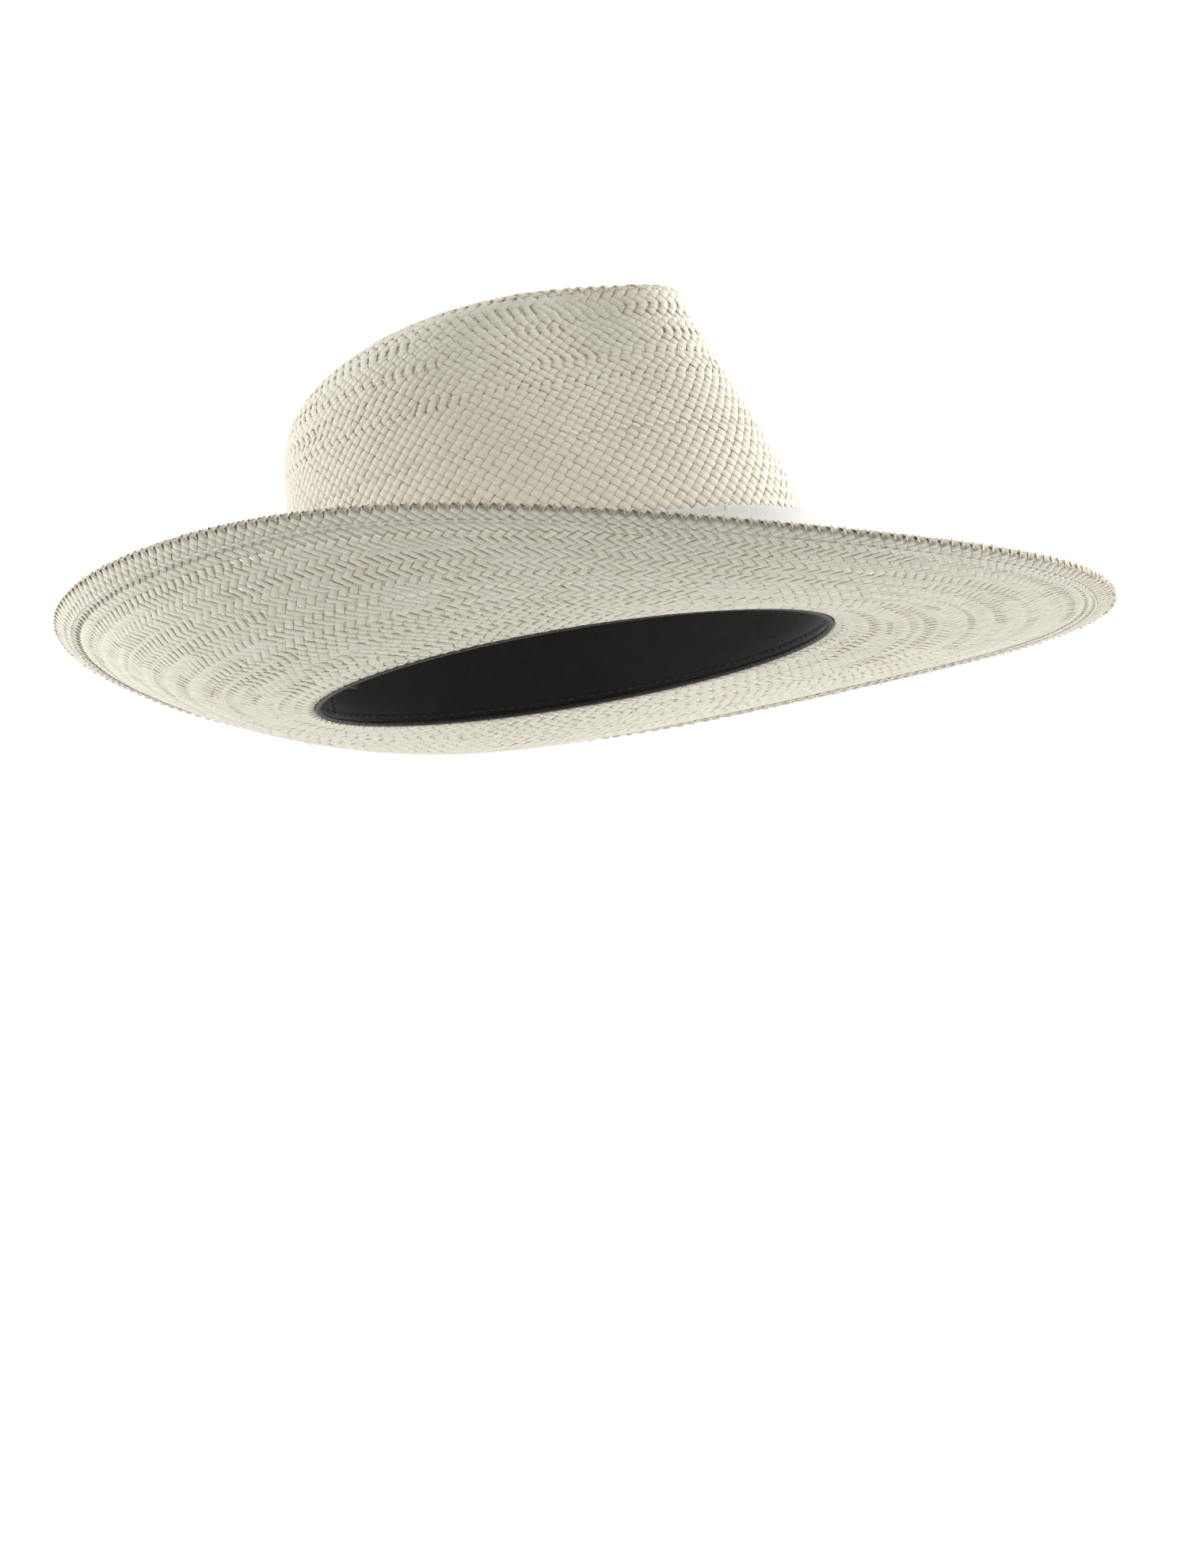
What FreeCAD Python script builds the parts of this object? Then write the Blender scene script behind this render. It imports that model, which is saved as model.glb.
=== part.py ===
"""Wide-brimmed panama hat with a teardrop crown, pinched at the front.

Millimetres. +Z runs up through the crown, -Y is the front of the hat and +X is the wearer's
left. The origin is the centre of the head opening, in the plane where the crown meets the brim.
Angles round the hat are counted from the front, over the wearer's right side (-X).
"""
import FreeCAD, Part
import Sketcher
import math
import os

from FreeCAD import Placement, Rotation, Vector

doc = FreeCAD.newDocument("panama_hat")
sheet = doc.addObject("Spreadsheet::Sheet", "Sizes")

# ---------------------------------------------------------------- driving dimensions
DIMENSIONS = {
    "straw_thickness": 1.4,          # two crossing straws, one over the other
    "brim_width": 103.0,             # measured along the straw, from the break to the rim
    "hem_width": 10.0,               # the part of the rim that is folded under
    "hem_thickness": 2.6,
    "ribbon_front": 101.4,           # outside of the ribbon, from the origin
    "ribbon_back": 104.6,
    "ribbon_half_width": 83.4,
    "ribbon_thickness": 0.6,
    "ribbon_height": 35.0,
    "ribbon_lift": 3.0,              # lower edge of the ribbon above the break
    "bow_length": 78.0,
    "bow_height": 33.0,
    "bow_thickness": 2.4,
    "bow_radius": 127.0,             # the ribbon's bend at the side of the hat
    "bow_shift": 6.0,                # the bow sits this far behind the middle of the side
    "knot_width": 15.0,
    "knot_thickness": 4.2,
    "knot_height": 34.0,
    "knot_rounding": 1.6,
    "bow_clearance": 0.05,           # between the band and the bow
    "knot_clearance": 0.1,           # between the band and the knot
    "tack_diameter": 0.7,
    "tack_length": 2.4,
    "tack_overlap": 1.9,             # the part of a tack that lies on the ribbon
    "sweatband_height": 35.0,
    "sweatband_thickness": 0.9,
    "sweatband_gap": 0.3,            # clearance between the sweatband and the straw
    "reed_diameter": 2.0,
    "reed_clearance": 0.1,           # between the reed and the straw
    "reed_lift": 0.4,                # the reed's middle above the break
    "thread_diameter": 0.6,
    "thread_proud": 0.05,            # the stitches are pulled down into the straw
    "stitching_lift": 3.0,
    "stitching_inset": 0.5,          # further in than the reed's middle
    "seam_lift": 3.0,
    "seam_length": 28.0,
    "seam_bite": 0.18,               # the seam is pulled into the band by this much
    "tape_bow_length": 34.0,
    "tape_bow_height": 9.0,
    "tape_bow_radius": 64.0,
    "tape_bow_thickness": 1.0,
    "tape_bow_lift": 14.0,
}

# Slope of the brim round the hat, as waves of the angle: the mean, then one, two, three and four
# turns of the cosine (front to back), then one and two turns of the sine (right to left).
WAVES = ("mean", "cos_a", "cos_b", "cos_c", "cos_d", "sin_a", "sin_b")
BRIM_SLOPE = (-0.045, -0.145, -0.035, -0.045, 0.055, 0.13, -0.065)   # where it leaves the crown
BRIM_CURL = (0.23, -0.05, 0.01, 0.025, -0.045, 0.035, 0.005)         # half of what the rim adds

# The crown's rings, from the break up over the crest and down to the button in the middle of the
# teardrop. They are control rings: the straw is drawn smoothly towards them.
RING_SIZES = ("front", "back", "half_width", "rise_front", "rise_side", "rise_back",
              "taper", "pinch")
CROWN_RINGS = {
    "break": (101.0, 101.0, 80.5, 0, 0, 0, 0, 0),
    "foot": (97.0, 103.0, 82.0, 14, 14, 14, 0, 0),
    "wall": (97.5, 103.0, 82.0, 44, 44, 42, 0, 0),
    "waist": (80.5, 100.0, 75.5, 86, 82, 78, 0.03, 7),
    "shoulder": (66.5, 99.5, 64.0, 115, 114, 104, 0.08, 14),
    "edge": (63.5, 83.5, 53.5, 130, 129, 117, 0.12, 9),
    "crest": (60.0, 71.0, 45.0, 133, 134, 119, 0.12, 5),
    "slope": (50.0, 58.0, 36.0, 123, 123, 113, 0.10, 2),
    "hollow": (32.0, 40.0, 22.0, 111, 112, 108, 0.06, 0),
    "button": (8.0, 14.0, 8.0, 109, 109, 109, 0, 0),
}
PINCH_ANGLE = 48.0       # the front pinches are deepest this far round from the front
PINCH_SPREAD = 26.0

RIM_FULLNESS = 0.6       # how far the rounded rim bulges, as a share of the hem's thickness
TACK_COUNT = 6
THREAD_SIDES = 12        # threads and cords are laid up from this many flat strips
HALVINGS = 30            # how often a height on the wall is narrowed down

AROUND = 72              # control points round the hat
CROWN_ROWS = 36          # control rows up the crown, crowded towards the break
BRIM_ROWS = 15           # control rows from the break to the hem, crowded towards the break
HEM_ROWS = 3
CROWDING = 1.6


def fill_sheet():
    """Writes every driving dimension into the sheet as a plain number with an alias."""
    values = dict(DIMENSIONS)
    for name, amount in zip(WAVES, BRIM_SLOPE):
        values["brim_slope_" + name] = amount
    for name, amount in zip(WAVES, BRIM_CURL):
        values["brim_curl_" + name] = amount
    for ring, amounts in CROWN_RINGS.items():
        for name, amount in zip(RING_SIZES, amounts):
            values[ring + "_ring_" + name] = amount
    for row, (name, amount) in enumerate(values.items(), start=1):
        sheet.set("A%d" % row, name)
        sheet.set("B%d" % row, str(amount))
        sheet.setAlias("B%d" % row, name)
    doc.recompute()


fill_sheet()


def size(name):
    """A driving dimension, read back from the sheet."""
    return float(getattr(sheet, name))


# ---------------------------------------------------------------- the shape of the straw
def wave(prefix, angle):
    """The sum of the named waves at one angle round the hat."""
    basis = (1.0, math.cos(angle), math.cos(2 * angle), math.cos(3 * angle),
             math.cos(4 * angle), math.sin(angle), math.sin(2 * angle))
    return sum(size(prefix + name) * part for name, part in zip(WAVES, basis))


def ring_point(ring, angle):
    """One point of a crown ring: an oval with a narrow nose, pushed in at the two pinches."""
    front, back, half_width, rise_front, rise_side, rise_back, taper, pinch = (
        size(ring + "_ring_" + name) for name in RING_SIZES)
    cosine, sine = math.cos(angle), math.sin(angle)
    width = half_width * (1 - taper * cosine)
    length = (front + back) / 2
    outward = Vector(-sine / width, -cosine / length, 0).normalize()
    from_front = abs(math.degrees(math.atan2(sine, cosine)))
    push = pinch * math.exp(-((from_front - PINCH_ANGLE) / PINCH_SPREAD) ** 2)
    rise = (rise_side + (rise_front - rise_back) / 2 * cosine
            + ((rise_front + rise_back) / 2 - rise_side) * cosine ** 2)
    oval = Vector(-width * sine, (back - front) / 2 - length * cosine, rise)
    return oval - outward * push


def crown_line(angle):
    """The crown's meridian at one angle, a clamped cubic B-spline from the break to the button."""
    poles = [ring_point(ring, angle) for ring in CROWN_RINGS]
    spans = len(poles) - 3
    line = Part.BSplineCurve()
    line.buildFromPolesMultsKnots(poles, [4] + [1] * (spans - 1) + [4],
                                  [k / spans for k in range(spans + 1)], False, 3)
    return line


def brim_point(angle, reach):
    """A point of the brim at one angle, a given distance out from the break along the straw."""
    start = ring_point("break", angle)
    length = (size("break_ring_front") + size("break_ring_back")) / 2
    outward = Vector(-math.sin(angle) / size("break_ring_half_width"),
                     -math.cos(angle) / length, 0).normalize()
    slope, curl = wave("brim_slope_", angle), wave("brim_curl_", angle)
    share = reach / size("brim_width")
    steps = 12
    run = 0.0
    for step in range(steps):
        pitch = slope + 2 * curl * share * (step + 0.5) / steps
        run += math.sqrt(1 - pitch ** 2) * reach / steps
    return start + outward * run + Vector(0, 0, (slope + curl * share) * reach)


def brim_reaches():
    """Where the rows of the brim lie, as distances from the break."""
    open_part = [HEM_START * ((k + 1) / BRIM_ROWS) ** CROWDING for k in range(BRIM_ROWS)]
    hem = [HEM_START + size("hem_width") * (k + 1) / HEM_ROWS for k in range(HEM_ROWS)]
    return open_part + hem


def straw_rows():
    """The middle of the straw as closed rows of points, from the button out to the rim."""
    heights = [(1 - k / CROWN_ROWS) ** CROWDING for k in range(CROWN_ROWS)]
    rows = [[] for _ in range(CROWN_ROWS + len(REACHES))]
    for step in range(AROUND):
        angle = 2 * math.pi * step / AROUND
        line = crown_line(angle)
        points = [line.value(height) for height in heights]
        points += [brim_point(angle, reach) for reach in REACHES]
        for row, point in zip(rows, points):
            row.append(point)
    return rows


def outward_normals(rows):
    """Unit normals of rows of points, on the crown's outer side and the brim's upper side."""
    normals = []
    last = len(rows) - 1
    for i, row in enumerate(rows):
        before, after = rows[max(i - 1, 0)], rows[min(i + 1, last)]
        line = []
        for j in range(AROUND):
            across = after[j] - before[j]
            along = row[(j + 1) % AROUND] - row[j - 1]
            line.append(along.cross(across).normalize())
        normals.append(line)
    return normals


def shifted(rows, normals, amounts):
    """Rows moved along their normals, each row by its own amount."""
    return [[point + normal * amount for point, normal in zip(row, line)]
            for row, line, amount in zip(rows, normals, amounts)]


# ---------------------------------------------------------------- skins and solids
def skin(rows, degree=3):
    """A smooth face through closed rows of control points, periodic round the hat."""
    degree = min(degree, len(rows) - 1)
    spans = len(rows) - degree
    columns = [[row[j] for row in rows] for j in range(AROUND)]
    surface = Part.BSplineSurface()
    surface.buildFromPolesMultsKnots(
        columns, [1] * (AROUND + 1), [degree + 1] + [1] * (spans - 1) + [degree + 1],
        [float(k) for k in range(AROUND + 1)], [float(k) for k in range(spans + 1)],
        True, False, 3, degree)
    return surface.toShape()


def lid(row):
    """A flat face inside one closed, level row of control points."""
    edge = Part.BSplineCurve()
    edge.buildFromPolesMultsKnots(row, [1] * (AROUND + 1),
                                  [float(k) for k in range(AROUND + 1)], True, 3)
    return Part.Face(Part.Wire(edge.toShape()))


def closed_solid(faces):
    """Sews faces into one solid with its outside facing out."""
    shell = Part.makeShell(faces)
    shell.sewShape(0.001)
    solid = Part.makeSolid(Part.Shell(shell.Faces))
    if solid.Volume < 0:
        solid.reverse()
    return solid


def level(row, height):
    return [Vector(point.x, point.y, height) for point in row]


def tube(row, normals, diameter):
    """A closed thread that follows one closed row of points, with flat strips for its sides."""
    radius = diameter / 2
    rings = []
    for k in range(THREAD_SIDES):
        turn = 2 * math.pi * k / THREAD_SIDES
        ring = []
        for j in range(AROUND):
            along = (row[(j + 1) % AROUND] - row[j - 1]).normalize()
            side = along.cross(normals[j])
            ring.append(row[j] + normals[j] * (radius * math.cos(turn))
                        + side * (radius * math.sin(turn)))
        rings.append(ring)
    return closed_solid([skin([rings[k - 1], rings[k]], 1) for k in range(THREAD_SIDES)])


def add_shape(label, shape):
    """A document object for a shape that only a free-form surface can give."""
    item = doc.addObject("Part::Feature", label)
    item.Shape = shape
    item.Placement = Placement()
    item.Label = label
    return item


# ---------------------------------------------------------------- straw
HEM_START = size("brim_width") - size("hem_width")
REACHES = brim_reaches()
ROWS = straw_rows()
NORMALS = outward_normals(ROWS)


def under_amounts():
    """How far the underside lies below the middle of the straw, thicker where it is hemmed."""
    half = size("straw_thickness") / 2
    fold = size("hem_thickness") - size("straw_thickness")
    open_part = [-half] * (len(ROWS) - HEM_ROWS)
    return open_part + [-half - fold] * HEM_ROWS


def make_straw_body():
    """Crown and brim: an upper skin, an under skin, a rounded rim and the flat button."""
    half = size("straw_thickness") / 2
    upper = shifted(ROWS, NORMALS, [half] * len(ROWS))
    under = shifted(ROWS, NORMALS, under_amounts())
    button = size("button_ring_rise_side")
    upper[0] = level(upper[0], button + half)
    under[0] = level(under[0], button - half)
    bulge = size("hem_thickness") * RIM_FULLNESS
    rim_out = [(a + b) * 0.5 + (a - ROWS[-2][j]).normalize() * bulge
               for j, (a, b) in enumerate(zip(upper[-1], under[-1]))]
    rim = skin([upper[-1], rim_out, under[-1]], degree=2)
    return add_shape("straw_body", closed_solid(
        [skin(upper), rim, skin(under), lid(upper[0]), lid(under[0])]))


def make_hem_thread(label, side):
    """One of the two threads of the lockstitch round the hem: side is 1 above and -1 below."""
    seam_row = len(ROWS) - HEM_ROWS
    lift = side * (size("straw_thickness") / 2 + size("thread_proud")
                   - size("thread_diameter") / 2)
    if side < 0:
        lift -= size("hem_thickness") - size("straw_thickness")
    row = shifted([ROWS[seam_row]], [NORMALS[seam_row]], [lift])[0]
    return add_shape(label, tube(row, NORMALS[seam_row], size("thread_diameter")))


# ---------------------------------------------------------------- sweatband
def crown_loop(height):
    """Points on the middle of the crown's wall at a level height, with outward directions."""
    points = []
    for step in range(AROUND):
        line = crown_line(2 * math.pi * step / AROUND)
        low, high = 0.0, 0.5
        for _ in range(HALVINGS):
            middle = (low + high) / 2
            if line.value(middle).z < height:
                low = middle
            else:
                high = middle
        points.append(line.value(low))
    outward = []
    for j in range(AROUND):
        along = points[(j + 1) % AROUND] - points[j - 1]
        outward.append(Vector(-along.y, along.x, 0).normalize() * -1)
    if outward[0].y > 0:
        outward = [direction * -1 for direction in outward]
    return points, outward


def wall_band(heights, near, far):
    """A closed band inside the crown's wall, between two distances in from its middle."""
    inner, outer = [], []
    for height in heights:
        points, outward = crown_loop(height)
        outer.append([p - n * near for p, n in zip(points, outward)])
        inner.append([p - n * far for p, n in zip(points, outward)])
    return closed_solid([skin(outer), skin(inner), skin([outer[0], inner[0]], 1),
                         skin([outer[-1], inner[-1]], 1)])


def make_sweatband():
    near = size("straw_thickness") / 2 + size("sweatband_gap")
    base = size("reed_diameter") / 2
    steps = 6
    heights = [base + size("sweatband_height") * k / steps for k in range(steps + 1)]
    return add_shape("sweatband", wall_band(heights, near, near + size("sweatband_thickness")))


def wall_depth():
    """From the middle of the straw to the middle of the sweatband's reed."""
    return size("straw_thickness") / 2 + size("reed_diameter") / 2 + size("reed_clearance")


def make_edge_thread(label, height, depth, diameter):
    """A closed round cord along the sweatband's lower edge."""
    points, outward = crown_loop(height)
    row = [p - n * depth for p, n in zip(points, outward)]
    return add_shape(label, tube(row, outward, diameter))


# ---------------------------------------------------------------- sketches
def plane_of(body, role):
    return next(item for item in body.Origin.OriginFeatures if item.Role == role)


def new_body(label, role):
    """A body with one sketch on one of its own origin planes."""
    body = doc.addObject("PartDesign::Body", label)
    body.Label = label
    sketch = body.newObject("Sketcher::SketchObject", label + "_sketch")
    sketch.AttachmentSupport = [(plane_of(body, role), "")]
    sketch.MapMode = "FlatFace"
    return body, sketch


def pad(body, sketch, length):
    feature = body.newObject("PartDesign::Pad", body.Label + "_pad")
    feature.Profile = sketch
    feature.setExpression("Length", length)
    body.Tip = feature
    return feature


def bind(sketch, constraint, expression):
    """Adds a dimension to a sketch and ties it to the sheet."""
    index = sketch.addConstraint(constraint)
    sketch.setExpression("Constraints[%d]" % index, expression)


def make_ribbon_band():
    """The band of ribbon: the space between two upright ovals."""
    body, sketch = new_body("ribbon_band", "XY_Plane")
    for inset in ("0", "Sizes.ribbon_thickness"):
        oval = sketch.addGeometry(Part.Ellipse(Vector(0, 103, 0), Vector(83, 1, 0),
                                               Vector(0, 1, 0)), False)
        sketch.exposeInternalGeometry(oval)
        major, minor = oval + 1, oval + 2
        sketch.addConstraint(Sketcher.Constraint("Vertical", major))
        sketch.addConstraint(Sketcher.Constraint("PointOnObject", oval, 3, -2))
        bind(sketch, Sketcher.Constraint("DistanceY", -1, 1, oval, 3, 1.0),
             "(Sizes.ribbon_back - Sizes.ribbon_front) / 2")
        bind(sketch, Sketcher.Constraint("Distance", major, 206.0),
             "Sizes.ribbon_front + Sizes.ribbon_back - 2 * " + inset)
        bind(sketch, Sketcher.Constraint("Distance", minor, 166.0),
             "2 * Sizes.ribbon_half_width - 2 * " + inset)
    pad(body, sketch, "Sizes.ribbon_height")
    body.setExpression("Placement.Base.z", "Sizes.ribbon_lift")
    return body


def make_curved_slab(label, radius, length, thickness, height):
    """A flat strip bent round an upright axis at the origin, its middle on the +X axis.

    The sketch is first drawn roughly, and its dimensions then bring it to size.
    """
    body, sketch = new_body(label, "XY_Plane")
    near, far, spread = 120.0, 122.0, 0.3
    arcs = []
    for reach in (near, far):
        circle = Part.Circle(Vector(0, 0, 0), Vector(0, 0, 1), reach)
        arcs.append(sketch.addGeometry(Part.ArcOfCircle(circle, -spread, spread), False))
    inner, outer = arcs
    for arc in arcs:
        sketch.addConstraint(Sketcher.Constraint("Coincident", arc, 3, -1, 1))
        sketch.addConstraint(Sketcher.Constraint("Symmetric", arc, 1, arc, 2, -1))
    for end in (1, 2):
        turn = spread * (1 if end == 2 else -1)
        ray = Vector(math.cos(turn), math.sin(turn), 0)
        line = sketch.addGeometry(Part.LineSegment(ray * near, ray * far), False)
        sketch.addConstraint(Sketcher.Constraint("Coincident", inner, end, line, 1))
        sketch.addConstraint(Sketcher.Constraint("Coincident", outer, end, line, 2))
    sketch.addConstraint(Sketcher.Constraint("PointOnObject", -1, 1, line))
    bind(sketch, Sketcher.Constraint("Radius", inner, near), radius)
    bind(sketch, Sketcher.Constraint("Radius", outer, far), radius + " + " + thickness)
    bind(sketch, Sketcher.Constraint("DistanceY", inner, 1, inner, 2,
                                     2 * near * math.sin(spread)), length)
    pad(body, sketch, height)
    return body


def make_ribbon_bow():
    """The flat bow on the wearer's left: the ribbon folded over on itself."""
    body = make_curved_slab("ribbon_bow", "Sizes.bow_radius", "Sizes.bow_length",
                            "Sizes.bow_thickness", "Sizes.bow_height")
    body.setExpression("Placement.Base.x",
                       "Sizes.ribbon_half_width - Sizes.bow_radius + Sizes.bow_clearance")
    body.setExpression("Placement.Base.y", "Sizes.bow_shift")
    body.setExpression("Placement.Base.z",
                       "Sizes.ribbon_lift + (Sizes.ribbon_height - Sizes.bow_height) / 2")
    return body


def make_ribbon_knot():
    """The wrap of ribbon round the middle of the bow, with its outer edges rounded."""
    body, sketch = new_body("ribbon_knot", "XY_Plane")
    corners = [Vector(0, -7, 0), Vector(4, -7, 0), Vector(4, 7, 0), Vector(0, 7, 0)]
    for k in range(4):
        sketch.addGeometry(Part.LineSegment(corners[k], corners[(k + 1) % 4]), False)
    for k in range(4):
        sketch.addConstraint(Sketcher.Constraint("Coincident", k, 2, (k + 1) % 4, 1))
    for k, direction in enumerate(("Horizontal", "Vertical", "Horizontal")):
        sketch.addConstraint(Sketcher.Constraint(direction, k))
    sketch.addConstraint(Sketcher.Constraint("PointOnObject", 3, 1, -2))
    sketch.addConstraint(Sketcher.Constraint("Symmetric", 3, 1, 3, 2, -1))
    bind(sketch, Sketcher.Constraint("Distance", 0, 4.0), "Sizes.knot_thickness")
    bind(sketch, Sketcher.Constraint("Distance", 1, 14.0), "Sizes.knot_width")
    block = pad(body, sketch, "Sizes.knot_height")
    doc.recompute()
    rounded = body.newObject("PartDesign::Fillet", "ribbon_knot_rounding")
    rounded.Base = (block, outer_edges(block.Shape))
    rounded.setExpression("Radius", "Sizes.knot_rounding")
    body.Tip = rounded
    body.setExpression("Placement.Base.x", "Sizes.ribbon_half_width + Sizes.knot_clearance")
    body.setExpression("Placement.Base.y", "Sizes.bow_shift")
    body.setExpression("Placement.Base.z",
                       "Sizes.ribbon_lift + (Sizes.ribbon_height - Sizes.knot_height) / 2")
    return body


def outer_edges(shape):
    """The edges of a block's face that lies furthest along +X."""
    reach = shape.BoundBox.XMax
    return ["Edge%d" % (k + 1) for k, edge in enumerate(shape.Edges)
            if all(abs(vertex.X - reach) < 0.001 for vertex in edge.Vertexes)]


def make_ribbon_tacks():
    """Short stitches over the ribbon's upper edge that hold it to the crown."""
    tacks = []
    middle = (size("ribbon_back") - size("ribbon_front")) / 2
    length = (size("ribbon_back") + size("ribbon_front")) / 2
    for k in range(TACK_COUNT):
        angle = 2 * math.pi * (k + 0.5) / TACK_COUNT
        tack = doc.addObject("Part::Cylinder", "tack_%d" % (k + 1))
        tack.setExpression("Radius", "Sizes.tack_diameter / 2")
        tack.setExpression("Height", "Sizes.tack_length")
        tack.Placement.Base = Vector(
            -size("ribbon_half_width") * math.sin(angle), middle - length * math.cos(angle),
            size("ribbon_lift") + size("ribbon_height") - size("tack_overlap"))
        tacks.append(tack)
    group = doc.addObject("Part::Compound", "ribbon_tacks")
    group.Links = tacks
    group.Label = "ribbon_tacks"
    return group


def make_sweatband_seam():
    """The thread that joins the sweatband's ends at the back, up its inner face."""
    depth = (size("straw_thickness") / 2 + size("sweatband_gap") + size("sweatband_thickness")
             + size("thread_diameter") / 2 - size("seam_bite"))
    ends = []
    for height in (size("seam_lift"), size("seam_lift") + size("seam_length")):
        points, outward = crown_loop(height)
        back = AROUND // 2
        ends.append(points[back] - outward[back] * depth)
    seam = doc.addObject("Part::Cylinder", "sweatband_seam")
    seam.Label = "sweatband_seam"
    seam.setExpression("Radius", "Sizes.thread_diameter / 2")
    seam.Height = (ends[1] - ends[0]).Length
    seam.Placement = Placement(ends[0], Rotation(Vector(0, 0, 1), ends[1] - ends[0]))
    return seam


def make_sweatband_bow():
    """The small tape bow at the back of the sweatband, bent to its curve."""
    body = make_curved_slab("sweatband_bow", "Sizes.tape_bow_radius - Sizes.tape_bow_thickness",
                            "Sizes.tape_bow_length", "Sizes.tape_bow_thickness",
                            "Sizes.tape_bow_height")
    depth = (size("straw_thickness") / 2 + size("sweatband_gap") + size("sweatband_thickness")
             + size("thread_diameter"))
    points, outward = crown_loop(size("tape_bow_lift"))
    back = AROUND // 2
    face = points[back] - outward[back] * depth
    centre = Vector(0, face.y - size("tape_bow_radius"), size("tape_bow_lift"))
    body.Placement = Placement(centre, Rotation(Vector(0, 0, 1), 90))
    return body


# ---------------------------------------------------------------- assembly
PARTS = [
    make_straw_body(),
    make_hem_thread("hem_needle_thread", 1),
    make_hem_thread("hem_bobbin_thread", -1),
    make_ribbon_band(),
    make_ribbon_bow(),
    make_ribbon_knot(),
    make_ribbon_tacks(),
    make_sweatband(),
    make_edge_thread("sweatband_reed", size("reed_lift"), wall_depth(), size("reed_diameter")),
    make_edge_thread("sweatband_stitching", size("stitching_lift"),
                     wall_depth() + size("stitching_inset"), size("thread_diameter")),
    make_sweatband_seam(),
    make_sweatband_bow(),
]


def check_document():
    """Stops before anything is written if the document or any sub-part has failed."""
    for item in doc.Objects:
        if "Invalid" in item.State or "Error" in item.State:
            raise RuntimeError("%s did not compute: %s" % (item.Name, item.State))
    for item in PARTS:
        if item.Shape.isNull() or not item.Shape.isValid() or item.Shape.Volume <= 0:
            raise RuntimeError(item.Label + " is not a sound solid")


doc.recompute()
check_document()
os.makedirs("parts", exist_ok=True)
for item in PARTS:
    item.Shape.exportStep("parts/" + item.Label + ".step")
    box = item.Shape.BoundBox
    print("%-20s %2d solids %9.1f mm3  z %.1f to %.1f" % (
        item.Label, len(item.Shape.Solids), item.Shape.Volume, box.ZMin, box.ZMax))
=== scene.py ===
"""Looks of the panama hat: real woven straw, ribbon, bow, sweatband and stitches.

Works in millimetres in the frame of the CAD part and hands Blender metres. +Z runs up through
the crown, -Y is the front and +X the wearer's left. Angles go from the front over -X.
"""
import math

import bpy
import numpy as np
from mathutils import Matrix, Vector


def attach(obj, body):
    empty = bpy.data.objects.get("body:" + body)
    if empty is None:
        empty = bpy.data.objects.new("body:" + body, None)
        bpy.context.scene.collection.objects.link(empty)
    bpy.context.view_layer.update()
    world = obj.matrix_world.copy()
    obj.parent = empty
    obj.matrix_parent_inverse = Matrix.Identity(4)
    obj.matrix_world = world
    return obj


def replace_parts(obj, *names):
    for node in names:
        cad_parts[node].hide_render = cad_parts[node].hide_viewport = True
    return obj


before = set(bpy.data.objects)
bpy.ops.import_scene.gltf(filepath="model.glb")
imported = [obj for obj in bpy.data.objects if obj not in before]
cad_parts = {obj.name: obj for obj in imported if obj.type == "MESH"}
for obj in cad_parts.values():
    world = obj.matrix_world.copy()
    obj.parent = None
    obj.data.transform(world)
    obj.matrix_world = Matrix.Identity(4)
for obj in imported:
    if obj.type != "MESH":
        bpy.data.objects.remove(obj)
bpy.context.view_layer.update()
MM = 0.001
TURN = 2 * math.pi

# ------------------------------------------------------------------ sizes shared with the CAD
STRAW_HALF = 0.7
BRIM_WIDTH = 103.0
HEM_WIDTH = 10.0
RIBBON_FRONT, RIBBON_BACK, RIBBON_HALF = 101.4, 104.6, 83.4
RIBBON_THICKNESS, RIBBON_HEIGHT, RIBBON_LIFT = 0.6, 35.0, 3.0
BOW_LENGTH, BOW_HEIGHT, BOW_SHIFT, BOW_RADIUS = 78.0, 33.0, 6.0, 127.0
KNOT_WIDTH, KNOT_HEIGHT = 15.0, 34.0
BAND_HEIGHT, BAND_THICKNESS, BAND_GAP = 35.0, 0.9, 0.3
REED_DIAMETER = 2.0
BRIM_SLOPE = (-0.045, -0.145, -0.035, -0.045, 0.055, 0.13, -0.065)
BRIM_CURL = (0.23, -0.05, 0.01, 0.025, -0.045, 0.035, 0.005)
CROWN_RINGS = np.array([
    (101.0, 101.0, 80.5, 0, 0, 0, 0, 0),
    (97.0, 103.0, 82.0, 14, 14, 14, 0, 0),
    (97.5, 103.0, 82.0, 44, 44, 42, 0, 0),
    (80.5, 100.0, 75.5, 86, 82, 78, 0.03, 7),
    (66.5, 99.5, 64.0, 115, 114, 104, 0.08, 14),
    (63.5, 83.5, 53.5, 130, 129, 117, 0.12, 9),
    (60.0, 71.0, 45.0, 133, 134, 119, 0.12, 5),
    (50.0, 58.0, 36.0, 123, 123, 113, 0.10, 2),
    (32.0, 40.0, 22.0, 111, 112, 108, 0.06, 0),
    (8.0, 14.0, 8.0, 109, 109, 109, 0, 0),
])
PINCH_ANGLE, PINCH_SPREAD = 48.0, 26.0
AROUND, CROWN_ROWS, BRIM_ROWS, HEM_ROWS, CROWDING = 72, 36, 15, 3, 1.6
RIB_PITCH = 0.7


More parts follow.
